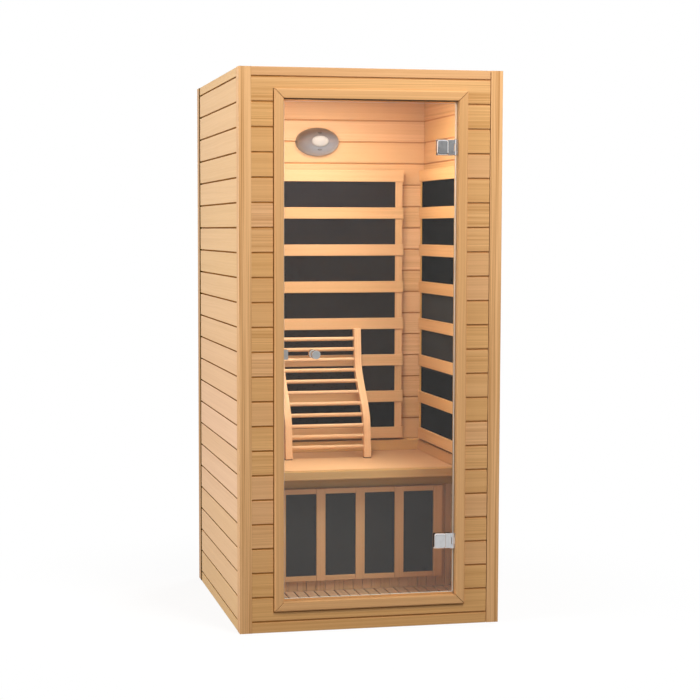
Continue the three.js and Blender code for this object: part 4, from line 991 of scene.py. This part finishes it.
# %% Metal groups
polish_lines, given, out = new_group(
    "polish lines",
    [("Place", "Vector", (0, 0, 0)), ("Metal", "Color", (0.7, 0.7, 0.7, 1)),
     ("Smooth", "Float", 0.15), ("Coarse", "Float", 0.1)],
    [("Color", "Color"), ("Roughness", "Float"), ("Height", "Float")],
)
px, py, pz = parts_of(polish_lines, given["Place"])
line_place = vector_of(
    polish_lines, sum_of(polish_lines, "MULTIPLY", px, 40.0),
    sum_of(polish_lines, "MULTIPLY", py, 900.0), sum_of(polish_lines, "MULTIPLY", pz, 2600.0))
lines = noise(polish_lines, line_place, detail=2.0, roughness=0.6)
smudge = between(polish_lines, noise(polish_lines, given["Place"], scale=60.0, detail=3.0), 0.4, 0.75)
worn = sum_of(polish_lines, "MULTIPLY_ADD", lines, 0.55, sum_of(polish_lines, "MULTIPLY", smudge, 0.45))
feed(polish_lines, out["Roughness"], sum_of(
    polish_lines, "MULTIPLY_ADD", worn, given["Coarse"], given["Smooth"]))
feed(polish_lines, out["Color"], blend_colours(
    polish_lines, sum_of(polish_lines, "MULTIPLY", worn, 0.22), given["Metal"], (0.35, 0.34, 0.33, 1)))
feed(polish_lines, out["Height"], lines)


def metal(name, colour, smooth, coarse, bump, metallic=1.0):
    made, tree, shader = new_material(name, Metallic=metallic)
    drawn = use_group(tree, polish_lines, Place=add_node(tree, "ShaderNodeTexCoord").outputs["Object"],
                      Metal=colour, Smooth=smooth, Coarse=coarse)
    feed(tree, shader.inputs["Base Color"], drawn["Color"])
    feed(tree, shader.inputs["Roughness"], drawn["Roughness"])
    raise_surface(tree, shader, drawn["Height"], bump, 0.0001)
    return made


polished_steel = metal("polished steel", (0.90, 0.90, 0.91, 1), 0.06, 0.08, 0.03)
brushed_steel = metal("brushed steel", (0.66, 0.67, 0.67, 1), 0.30, 0.16, 0.10, 0.55)
# The lamp's screws are darkened far below steel: painted shade standing in for their dark slots.
slot_shade_screw_steel = metal("screw steel darkened as painted slot shade", (0.075, 0.07, 0.065, 1), 0.35, 0.2, 0.1, 0.4)
satin_nickel = metal("satin nickel", (0.295, 0.305, 0.33, 1), 0.34, 0.22, 0.12, 0.5)
print("metals ready")

# %% [markdown]
# ## Wall lamp
# An oval dome with a bright opal lens in its middle, held by two slotted screws. Round forms are
# turned: a profile is swept about an axis, and then stretched sideways to the oval. The dome gets
# a rolled rim and a raised ring around the lens.

# %% Turning helper
def turn(name, profile, steps, place, stretch=(1, 1)):
    """Sweeps (radius, height off the wall) about the -Y axis and stretches it along X and Z."""
    made = bmesh.new()
    rings = []
    for radius, height in profile:
        if radius < 1e-6:
            rings.append([made.verts.new((0, -height, 0))])
            continue
        ring = []
        for i in range(steps):
            angle = 2 * math.pi * i / steps
            x = radius * math.cos(angle) * stretch[0]
            z = radius * math.sin(angle) * stretch[1]
            ring.append(made.verts.new((x, -height, z)))
        rings.append(ring)
    for first, second in zip(rings, rings[1:]):
        for i in range(steps):
            j = (i + 1) % steps
            quad = [first[i % len(first)], first[j % len(first)], second[j % len(second)], second[i % len(second)]]
            corner = list(dict.fromkeys(quad))
            if len(corner) > 2:
                made.faces.new(corner)
    bmesh.ops.recalc_face_normals(made, faces=made.faces)
    bmesh.ops.translate(made, verts=made.verts, vec=Vector(place))
    mesh = bpy.data.meshes.new(name)
    made.to_mesh(mesh)
    made.free()
    mesh.polygons.foreach_set("use_smooth", [True] * len(mesh.polygons))
    mesh.set_sharp_from_angle(angle=math.radians(38))
    return mesh


def arc(centre, radius, start, end, steps):
    """Points (radius, height) of an arc in a profile, with angles in degrees."""
    turns = [math.radians(start + (end - start) * i / steps) for i in range(steps + 1)]
    return [(centre[0] + radius * math.cos(t), centre[1] + radius * math.sin(t)) for t in turns]


# %% Screw helpers
def joined(name, meshes):
    """Several meshes as one, with their shading kept."""
    made = bmesh.new()
    for mesh in meshes:
        made.from_mesh(mesh)
        bpy.data.meshes.remove(mesh)
    result = bpy.data.meshes.new(name)
    made.to_mesh(result)
    made.free()
    return result


def screw_head(centre, facing, radius=0.003, wide=1.0):
    """A small head with a driver socket, round or stretched along X; facing is a direction."""
    rings = ((1.0, -0.0002), (1.0, 0.0003), (0.86, 0.0007), (0.48, 0.0007), (0.44, -0.0001))
    made = bmesh.new()
    steps = 24
    loops = []
    for share, height in rings:
        turns = [2 * math.pi * i / steps for i in range(steps)]
        loops.append([made.verts.new((wide * radius * share * math.cos(t), radius * share * math.sin(t), height))
                      for t in turns])
    for first, second in zip(loops, loops[1:]):
        for i in range(steps):
            j = (i + 1) % steps
            made.faces.new((first[i], first[j], second[j], second[i]))
    made.faces.new(loops[-1])
    made.faces.new(loops[0][::-1])
    bmesh.ops.recalc_face_normals(made, faces=made.faces)
    mesh = bpy.data.meshes.new("screw")
    made.to_mesh(mesh)
    made.free()
    turn_to = Vector((0, 0, 1)).rotation_difference(Vector(facing)).to_matrix().to_4x4()
    mesh.transform(Matrix.Translation(centre) @ turn_to)
    return mesh


# %% Lamp dome and lens
LAMP_PLACE = (0.0, ROOM_BACK_Y, 1.705)
LAMP_RIM = 0.054
LAMP_STRETCH = (0.170 / 0.108, 1.0)
LENS_RADIUS = 0.021

dome_last = math.acos((LENS_RADIUS + 0.0028) / LAMP_RIM)
dome = [(0.0500, 0.0003), (LAMP_RIM, 0.0003), (LAMP_RIM, 0.0045)]
for i in range(25):
    angle = dome_last * i / 24
    dome.append((LAMP_RIM * math.cos(angle) * 0.995,
                 0.006 + 0.054 * math.sin(angle) / math.sin(dome_last)))
dome += [(LENS_RADIUS + 0.0024, 0.0612), (LENS_RADIUS + 0.0012, 0.0620), (LENS_RADIUS + 0.0003, 0.0612),
         (LENS_RADIUS + 0.0003, 0.0580), (LENS_RADIUS + 0.002, 0.0560), (0.0500, 0.0045), (0.0500, 0.0003)]
link_piece("wall_lamp_dome", turn("wall_lamp_dome", dome, 72, LAMP_PLACE, LAMP_STRETCH),
           "cabin", [satin_nickel], ["lamp_dome"])
screws = []
for up in (1, -1):
    place = (LAMP_PLACE[0], LAMP_PLACE[1] - 0.0543, LAMP_PLACE[2] + up * 0.032)
    screws.append(screw_head(place, (0, -0.769, up * 0.639), 0.0042, 1.9))
link_piece("wall_lamp_screws", joined("wall_lamp_screws", screws), "cabin", [slot_shade_screw_steel])

opal, tree, shader = new_material("opal lens", Roughness=0.28)
shader.inputs["Emission Strength"].default_value = 0.28
haze = noise(tree, add_node(tree, "ShaderNodeTexCoord").outputs["Object"], scale=45.0, detail=3.0)
milk = blend_colours(tree, haze, (0.41, 0.41, 0.41, 1), (0.47, 0.475, 0.475, 1))
feed(tree, shader.inputs["Base Color"], milk)
feed(tree, shader.inputs["Emission Color"], milk)
lens_profile = [(0, 0.0602), (LENS_RADIUS, 0.0602)]
lens_profile += [(LENS_RADIUS * math.cos(math.radians(a)), 0.0618 + 0.007 * math.sin(math.radians(a)))
                 for a in range(0, 90, 9)]
lens_profile += [(0, 0.0688)]
link_piece("wall_lamp_lens", turn("wall_lamp_lens", lens_profile, 64, LAMP_PLACE, LAMP_STRETCH),
           "cabin", [opal], ["lamp_lens"])

# %% [markdown]
# ## Lamp light
# The lamp is lit. A small warm lamp just in front of the dome gives the glow on the slats and the
# upper boards, and a wide one under the ceiling stands for the light that the pale room throws
# back on the bench.

# %% Warm light
def warm_lamp(name, place, watts, radius, colour=(0.79, 0.87, 1.12)):
    data = bpy.data.lights.new(name, "POINT")
    data.energy = watts
    data.color = colour
    data.shadow_soft_size = radius
    lamp = bpy.data.objects.new(name, data)
    scene.collection.objects.link(lamp)
    lamp.location = place
    lamp.visible_camera = False
    lamp.visible_glossy = False
    lamp.visible_transmission = False
    return lamp


glow = warm_lamp("lamp_glow", (-0.07, 0.03, 1.68), 3.1, 0.06)
ceiling_glow = soft_box("ceiling_glow", (0.0, -0.14, 1.86), (0.0, -0.14, 0.5), 0.42, 8.4, (1.0, 0.94, 0.83))
bench_glow = soft_box("bench_glow", (-0.06, -0.30, 1.10), (-0.05, -0.05, 0.50), 0.22, 1.9, (1.0, 0.95, 0.86))
bench_glow.data.spread = math.radians(120)
rest_glow = soft_box("rest_glow", (-0.06, -0.24, 1.80), (0.05, 0.24, 0.86), 0.22, 0.5, (1.0, 0.97, 0.92))
rest_glow.data.spread = math.radians(56)
strip_glow = warm_lamp("strip_glow", (0.30, 0.06, 1.25), 0.6, 0.03)
side_glow = warm_lamp("side_glow", (0.19, -0.42, 0.85), 6.0, 0.03, (1.0, 0.93, 0.86))
dome_shine = soft_box("dome_shine", (0.18, -0.32, 1.28), (0.0, 0.37, 1.705), 0.16, 13.0)


def link_light(lamp, pieces, state):
    """Leaves pieces out of a lamp's light, or lights nothing else: EXCLUDE or INCLUDE."""
    lit = bpy.data.collections.new(lamp.name + " receivers")
    for piece in pieces:
        lit.objects.link(piece)
    for entry in lit.collection_objects:
        entry.light_linking.link_state = state
    lamp.light_linking.receiver_collection = lit


lamp_pieces = [bpy.data.objects["wall_lamp_dome"], bpy.data.objects["wall_lamp_lens"]]
link_light(glow, lamp_pieces + [nodes["left_heater"], nodes["right_heater"]], "EXCLUDE")
seat = [bpy.data.objects["bench_seat"], bpy.data.objects["bench_nosing"]]
link_light(ceiling_glow, [nodes["back_heater"]] + lamp_pieces[:1] + seat[:1], "EXCLUDE")
link_light(bench_glow, seat[:1], "INCLUDE")
link_light(rest_glow, seat + [nodes["back_heater"], nodes["calf_heater"]], "EXCLUDE")
link_light(side_glow, [bpy.data.objects["right_guard"], bpy.data.objects["room_right_lining"]], "INCLUDE")
link_light(strip_glow, [bpy.data.objects["room_back_lining"]], "INCLUDE")
link_light(bpy.data.objects["front_box"], [nodes["back_heater"]], "EXCLUDE")
link_light(dome_shine, lamp_pieces[:1], "INCLUDE")
print("warm lamps placed")

# %% [markdown]
# ## Glass door
# The door is one clear pane of 8 mm toughened glass with ground edges. The pane is an outline with
# rounded corners. Its broad faces are clear glass and its edges a satin grey-green, so it has two
# materials. A plain Transparent shader takes over for shadow rays, so the lamps shine through.

# %% Glass
clear_glass, tree, shader = new_material(
    "clear glass", Roughness=0.0, IOR=1.42, Transmission_Weight=1.0)
shader.inputs["Base Color"].default_value = (0.975, 0.985, 0.98, 1)
through_glass = add_node(tree, "ShaderNodeBsdfTransparent")
through_glass.inputs["Color"].default_value = (0.72, 0.74, 0.73, 1)
path = add_node(tree, "ShaderNodeLightPath")
lets_light = add_node(tree, "ShaderNodeMixShader")
feed(tree, lets_light.inputs[0], path.outputs["Is Shadow Ray"])
tree.links.new(shader.outputs[0], lets_light.inputs[1])
tree.links.new(through_glass.outputs[0], lets_light.inputs[2])
tree.links.new(lets_light.outputs[0], tree.nodes["Material Output"].inputs["Surface"])

ground_edge, tree, shader = new_material("ground glass edge with painted glow", Metallic=0.0)
speck = noise(tree, add_node(tree, "ShaderNodeTexCoord").outputs["Object"], scale=900.0, detail=2.0)
edge_glow_colour = blend_colours(tree, speck, (0.62, 0.62, 0.58, 1), (0.74, 0.74, 0.70, 1))
feed(tree, shader.inputs["Base Color"], edge_glow_colour)
feed(tree, shader.inputs["Emission Color"], edge_glow_colour)
# The edge also glows faintly: painted light that keeps it pale where the casing shades it.
shader.inputs["Emission Strength"].default_value = 0.16
feed(tree, shader.inputs["Roughness"], sum_of(tree, "MULTIPLY_ADD", speck, 0.2, 0.25))

# %% Glass pane
PANE = (-0.302, 0.296, 0.112, 1.794)
PANE_Y = (-0.462, -0.454)
ARRIS = 0.0008


def rounded_outline(x0, x1, z0, z1, radius, steps=6):
    """A rectangle with rounded corners, as points in X and Z."""
    centres = ((x1 - radius, z0 + radius, -90), (x1 - radius, z1 - radius, 0),
               (x0 + radius, z1 - radius, 90), (x0 + radius, z0 + radius, 180))
    points = []
    for cx, cz, start in centres:
        points += arc((cx, cz), radius, start, start + 90, steps)
    return points


def stacked(name, layers):
    """Joins equal outlines at successive depths along Y into one closed body."""
    made = bmesh.new()
    rings = [[made.verts.new((x, y, z)) for x, z in outline] for outline, y in layers]
    made.faces.new(rings[0])
    made.faces.new(rings[-1][::-1])
    for first, second in zip(rings, rings[1:]):
        for i in range(len(first)):
            j = (i + 1) % len(first)
            made.faces.new((first[j], first[i], second[i], second[j]))
    bmesh.ops.recalc_face_normals(made, faces=made.faces)
    mesh = bpy.data.meshes.new(name)
    made.to_mesh(mesh)
    made.free()
    return mesh


x0, x1, z0, z1 = PANE
inner = rounded_outline(x0 + ARRIS, x1 - ARRIS, z0 + ARRIS, z1 - ARRIS, 0.0022)
outer = rounded_outline(x0, x1, z0, z1, 0.003)
pane = stacked("door_pane", [(inner, PANE_Y[0]), (outer, PANE_Y[0] + ARRIS),
                             (outer, PANE_Y[1] - ARRIS), (inner, PANE_Y[1])])
for face in pane.polygons:
    face.material_index = 0 if abs(face.normal.y) > 0.99 else 1
link_piece("door_pane", pane, "door", [clear_glass, ground_edge], ["door_glass"])
print("pane", round(x1 - x0, 3), "by", round(z1 - z0, 3), "m")

# %% [markdown]
# ## Hinges
# Two glass hinges carry the door. Each has a leaf on the lining, a pin, and two plates that clamp
# the pane. The plates are outlines with rounded corners and a wide polished bevel; the barrels are
# turned. Screws show only on the inside plate and on the leaf, as on real ones.

# %% Hinge helpers
PIVOT = (0.2934, -0.4693)
HINGE_HALF = 0.027
KNUCKLE = 0.004
LEAF_KNUCKLE = 0.012


def plate(x0, x1, z0, z1, back, front, corner, bevel):
    """A flat plate with rounded corners and a rounded front edge; back and front lie on Y."""
    way = 1 if front > back else -1
    layers = [(rounded_outline(x0, x1, z0, z1, corner), back)]
    for i in range(5):
        angle = math.radians(90 * i / 4)
        inset = bevel * (1 - math.cos(angle))
        y = front - way * bevel * (1 - math.sin(angle))
        layers.append((rounded_outline(x0 + inset, x1 - inset, z0 + inset, z1 - inset, corner - inset * 0.8), y))
    inset = bevel + 0.0004
    layers.append((rounded_outline(x0 + inset, x1 - inset, z0 + inset, z1 - inset, corner - inset * 0.8), front))
    mesh = stacked("plate", layers)
    mesh.polygons.foreach_set("use_smooth", [True] * len(mesh.polygons))
    mesh.set_sharp_from_angle(angle=math.radians(38))
    return mesh


def upright_barrel(radius, z0, z1, ease=0.0006, steps=40):
    """A turned barrel on the hinge axis."""
    long = z1 - z0
    profile = [(0, 0), (radius - ease, 0), (radius, ease), (radius, long - ease), (radius - ease, long), (0, long)]
    mesh = turn("barrel", profile, steps, (0, 0, 0))
    mesh.transform(Matrix.Translation((PIVOT[0], PIVOT[1], z0)) @ Matrix.Rotation(math.radians(-90), 4, "X"))
    return mesh


def solid_box(low, high, ease=0.0004):
    made = bmesh.new()
    for v in bmesh.ops.create_cube(made, size=1.0)["verts"]:
        v.co = Vector([a + (b - a) * (c + 0.5) for a, b, c in zip(low, high, v.co)])
    bmesh.ops.bevel(made, geom=made.edges[:], offset=ease, segments=2, affect="EDGES", profile=0.5)
    mesh = bpy.data.meshes.new("box")
    made.to_mesh(mesh)
    made.free()
    return mesh


# %% Hinges
for name, z in (("upper", 1.645), ("lower", 0.292)):
    top, low = z + HINGE_HALF, z - HINGE_HALF
    clamp = [plate(0.2268, 0.2692, low, top, -0.4623, -0.4693, 0.0090, 0.0055),
             plate(0.2640, 0.2888, low + 0.0008, top - 0.0008, -0.4623, -0.4674, 0.003, 0.0016)]
    for k0, k1 in ((z + LEAF_KNUCKLE + 0.0003, top), (low, z - LEAF_KNUCKLE - 0.0003)):
        clamp.append(upright_barrel(KNUCKLE, k0, k1))
        clamp.append(solid_box((0.2848, -0.4692, k0), (0.2934, -0.4655, k1)))
    link_piece("hinge_" + name + "_front_plate", joined("clamp", clamp), "door",
               [polished_steel], ["hinge_" + name + "_clamp"])
    inside = [plate(0.2268, 0.2888, low, top, -0.4537, -0.4467, 0.004, 0.0016)]
    inside += [screw_head((0.2578, -0.4467, z + dz), (0, 1, 0), 0.0042) for dz in (-0.015, 0.015)]
    link_piece("hinge_" + name + "_inside_plate", joined("inside", inside), "door",
               [polished_steel], ["hinge_" + name + "_backplate"])
    leaf = [solid_box((0.298, -0.4733, low), (0.3002, -0.4413, top)),
            upright_barrel(KNUCKLE, z - LEAF_KNUCKLE, z + LEAF_KNUCKLE),
            solid_box((0.2934, -0.4727, z - LEAF_KNUCKLE), (0.2991, -0.4693, z + LEAF_KNUCKLE))]
    leaf += [screw_head((0.298, -0.452, z + dz), (-1, 0, 0), 0.0028) for dz in (-0.019, 0.019)]
    link_piece("hinge_" + name + "_wall_leaf", joined("leaf", leaf), "cabin",
               [polished_steel], ["hinge_" + name + "_leaf"])
    pin = [upright_barrel(0.0032, top + 0.0003, top + 0.0023)]
    link_piece("hinge_" + name + "_pin_head", joined("pin", pin), "cabin",
               [polished_steel], ["hinge_" + name + "_pin"])
print("two hinges made")

# %% [markdown]
# ## Knobs and catch
# A small turned knob on each side of the pane, with a rosette against the glass. The catch is a
# folded steel clip on the pane's edge with a magnet behind it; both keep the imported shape.

# %% Knobs
KNOB = (-0.197, 0.946)


def knob_profile():
    points = [(0, 0), (0.012, 0)] + arc((0.0112, 0.0022), 0.0008, 0, 90, 3) + [(0.0085, 0.003)]
    points += [(0.0075, 0.0038), (0.0072, 0.008), (0.0078, 0.0112)]
    points += [(0.0105, 0.0121)] + arc((0.0125, 0.0146), 0.0025, -90, 0, 6)
    points += arc((0.0130, 0.0270), 0.0020, 0, 90, 6) + [(0.0105, 0.0287), (0.006, 0.0284), (0, 0.0283)]
    return points


outside_knob = turn("door_knob_outside", knob_profile(), 56, (KNOB[0], -0.4623, KNOB[1]))
inside_knob = turn("door_knob_inside", knob_profile(), 56, (0, 0, 0))
inside_knob.transform(Matrix.Translation((KNOB[0], -0.4537, KNOB[1])) @ Matrix.Rotation(math.pi, 4, "Z"))
for knob, node in ((outside_knob, "knob_outer"), (inside_knob, "knob_inner")):
    for face in knob.polygons:
        face.material_index = 1 if abs(face.normal.y) > 0.95 else 0
    link_piece(knob.name, knob, "door", [polished_steel, brushed_steel], [node])

# %% Plastics
def plastic(name, dark, pale, roughness):
    made, tree, shader = new_material(name)
    place = add_node(tree, "ShaderNodeTexCoord").outputs["Object"]
    mottle = noise(tree, place, scale=700.0, detail=2.0)
    feed(tree, shader.inputs["Base Color"], blend_colours(tree, mottle, dark, pale))
    feed(tree, shader.inputs["Roughness"], sum_of(tree, "MULTIPLY_ADD", mottle, 0.15, roughness))
    raise_surface(tree, shader, mottle, 0.2, 0.0002)
    return made


black_plastic = plastic("black moulded plastic", (0.012, 0.012, 0.013, 1), (0.022, 0.022, 0.023, 1), 0.38)
grey_plastic = plastic("grey coated steel", (0.24, 0.25, 0.26, 1), (0.32, 0.33, 0.34, 1), 0.4)
dress("catch_plate", brushed_steel, 0.0005)
dress("catch_magnet", black_plastic, 0.0006)
dress("control_panel", black_plastic, 0.0006)
dress("power_unit", grey_plastic, 0.0008)
print("plastics dressed")

# %% [markdown]
# ## Control panel and mains inlet
# Inside, on the front wall, sits a small panel: a dark glossy window and six rubber keys without
# any lettering. The keys are turned with a shallow dish for the finger. On the back of the cabin
# the mains inlet has three flat pins in its socket and two screws in its flange.

# %% Panel and inlet
PANEL_MIDDLE = -0.3659
PANEL_FACE = -0.4127

window_glass, tree, shader = new_material("display window", Roughness=0.12)
smear = noise(tree, add_node(tree, "ShaderNodeTexCoord").outputs["Object"], scale=80.0, detail=3.0)
feed(tree, shader.inputs["Base Color"], blend_colours(
    tree, smear, (0.006, 0.008, 0.010, 1), (0.014, 0.017, 0.020, 1)))
feed(tree, shader.inputs["Roughness"], sum_of(tree, "MULTIPLY_ADD", smear, 0.12, 0.06))
window = plate(PANEL_MIDDLE - 0.0264, PANEL_MIDDLE + 0.0264, 1.3446, 1.3794, PANEL_FACE - 0.00145,
               PANEL_FACE - 0.0003, 0.002, 0.0005)
link_piece("panel_window", window, "cabin", [window_glass])

key_profile = [(0, 0), (0.0066, 0), (0.0066, 0.0008)] + arc((0.0058, 0.0010), 0.0008, 0, 90, 4)
key_profile += [(0.0045, 0.0015), (0.0022, 0.0013), (0, 0.0012)]
keys = []
for column in (-0.0155, 0.0155):
    for row in range(3):
        key = turn("key", key_profile, 32, (0, 0, 0))
        key.transform(Matrix.Translation((PANEL_MIDDLE + column, PANEL_FACE + 0.0001, 1.326 - 0.0205 * row))
                      @ Matrix.Rotation(math.pi, 4, "Z"))
        keys.append(key)
key_rubber = plastic("grey rubber keys", (0.10, 0.10, 0.10, 1), (0.15, 0.15, 0.15, 1), 0.6)
link_piece("panel_keys", joined("panel_keys", keys), "cabin", [key_rubber])

INLET_MIDDLE = (0.210, 0.210)
pins = [solid_box((INLET_MIDDLE[0] + dx - 0.001, 0.4603, INLET_MIDDLE[1] + dz - 0.002),
                  (INLET_MIDDLE[0] + dx + 0.001, 0.4735, INLET_MIDDLE[1] + dz + 0.002), 0.0003)
        for dx, dz in ((-0.007, -0.002), (0.007, -0.002), (0.0, 0.003))]
pins += [screw_head((INLET_MIDDLE[0] + dx, 0.476, INLET_MIDDLE[1]), (0, 1, 0), 0.0028)
         for dx in (-0.0205, 0.0205)]
link_piece("inlet_pins", joined("inlet_pins", pins), "cabin", [brushed_steel])
print("panel and inlet finished")

# %% [markdown]
# ## Backrest
# A loose rest leans on the back guard: two S-shaped rails, rounded all round, joined by eleven
# dowels. A rail is the S curve with a constant thickness, pushed out to its width; the Bevel
# modifier rounds its long edges. The grain attribute follows the curve.

# %% Backrest rails
contact_shadow_felt = plastic("dark felt, painted contact shadow", (0.020, 0.013, 0.009, 1), (0.038, 0.026, 0.018, 1), 0.8)
REST_FOOT = 0.4983
REST_HIGH = 0.484
REST_HALF = 0.1665
REST_MIDDLE = -0.004
PAD = 0.0026
RAIL_WIDTH = 0.0275
RAIL_DEPTH = 0.028
RAIL_STEPS = 56


def spine(rise):
    """The middle of a rail, in Y, at a rise above the bench."""
    t = min(max((rise - 0.120) / 0.240, 0.0), 1.0)
    return 0.1847 + 0.1 * rise + 0.1242 * t * t * (3 - 2 * t)


def rail_outline():
    front, back = [], []
    for i in range(RAIL_STEPS + 1):
        rise = PAD + (REST_HIGH - PAD) * i / RAIL_STEPS
        slope = (spine(rise + 0.0005) - spine(rise - 0.0005)) / 0.001
        half = RAIL_DEPTH / 2 * math.hypot(1, slope)
        front.append((spine(rise) - half, REST_FOOT + rise))
        back.append((spine(rise) + half, REST_FOOT + rise))
    return front + back[::-1]


for name, x0 in (("left", REST_MIDDLE - REST_HALF), ("right", REST_MIDDLE + REST_HALF - RAIL_WIDTH)):
    rail = start_boards()
    outline = rail_outline()
    near = [rail.verts.new((x0, y, z)) for y, z in outline]
    far = [rail.verts.new((x0 + RAIL_WIDTH, y, z)) for y, z in outline]
    count = len(outline)
    for i in range(count):
        j = (i + 1) % count
        rail.faces.new((near[i], near[j], far[j], far[i]))
    for side in (near, far):
        for i in range(RAIL_STEPS):
            rail.faces.new((side[i], side[i + 1], side[count - 2 - i], side[count - 1 - i]))
    mark_board(rail, rail.verts, "Z", tone=0.4, figure=0.6)
    grain = rail.verts.layers.float_vector["grain"]
    shift = draw.uniform(0, 9)
    for v in rail.verts:
        v[grain] = (v.co.z + shift, v.co.y - spine(v.co.z - REST_FOOT), v.co.x)
    boards_piece("backrest_" + name + "_side", rail, "backrest", backrest_lit_wood,
                 ["backrest_rail_" + name], 0.0026, 4)
    # Under each foot a thin near-black felt pad: a dark piece that stands in for the contact shadow.
    pad = start_boards()
    low = (x0 + 0.0008, spine(0) - RAIL_DEPTH / 2 + 0.0008, REST_FOOT)
    high = (x0 + RAIL_WIDTH - 0.0008, spine(0) + RAIL_DEPTH / 2 - 0.0008, REST_FOOT + PAD)
    lay_board(pad, low, high, "X")
    boards_piece("backrest_" + name + "_pad", pad, "backrest", contact_shadow_felt, (), 0.0004, 1)

# %% Backrest dowels
DOWEL = 0.0075
DOWEL_HALF = 0.1394
for i in range(11):
    number = str(i + 1).zfill(2)
    rise = 0.0438 + 0.0401 * i
    mesh = turn("dowel", [(0, 0), (DOWEL, 0), (DOWEL, 2 * DOWEL_HALF), (0, 2 * DOWEL_HALF)], 32, (0, 0, 0))
    mesh.transform(Matrix.Rotation(math.radians(90), 4, "Z"))
    mesh.transform(Matrix.Translation((REST_MIDDLE - DOWEL_HALF, spine(rise), REST_FOOT + rise)))
    dowel = start_boards()
    dowel.from_mesh(mesh)
    mark_board(dowel, dowel.verts, "X", tone=draw.uniform(-0.3, 0.7), figure=0.5)
    dowel.to_mesh(mesh)
    dowel.free()
    link_piece("rest_dowel_" + number, mesh, "backrest", [dowel_shaded_wood],
               ["backrest_dowel_" + number])
print("backrest made")

# %% [markdown]
# ## Battens and rail of the seat
# The batten behind the seat goes on along both side walls, so nothing can slip down the joint
# between seat and wall. These two stop against the back one and at the nosing. Under the seat a
# plain level rail carries its strips and covers the upper ends of the kick boards.

# %% Side battens and seat rail
for name, x0, x1 in (("left", -0.4313, BATTEN_DEPTH - ROOM_X), ("right", ROOM_X - BATTEN_DEPTH, 0.4313)):
    batten = start_boards()
    lay_board(batten, (x0, NOSING_BACK, BENCH_TOP + 0.0005),
              (x1, ROOM_BACK_Y - BATTEN_DEPTH - 0.0004, BATTEN_TOP), "Y", tone=-0.5, figure=0.5)
    boards_piece("bench_" + name + "_batten", batten, "cabin", room_boards_wood, (), 0.0015)
# The seat rail is toned far down: painted shade under the seat.
rail = start_boards()
lay_board(rail, (-0.4313, 0.0050, CALF_TOP + 0.0015), (0.4313, 0.0095, 0.4797), "X", tone=-6.0, figure=0.5)
boards_piece("bench_seat_rail", rail, "cabin", kick_shaded_wood, (), 0.0012)
print("side battens and seat rail made")
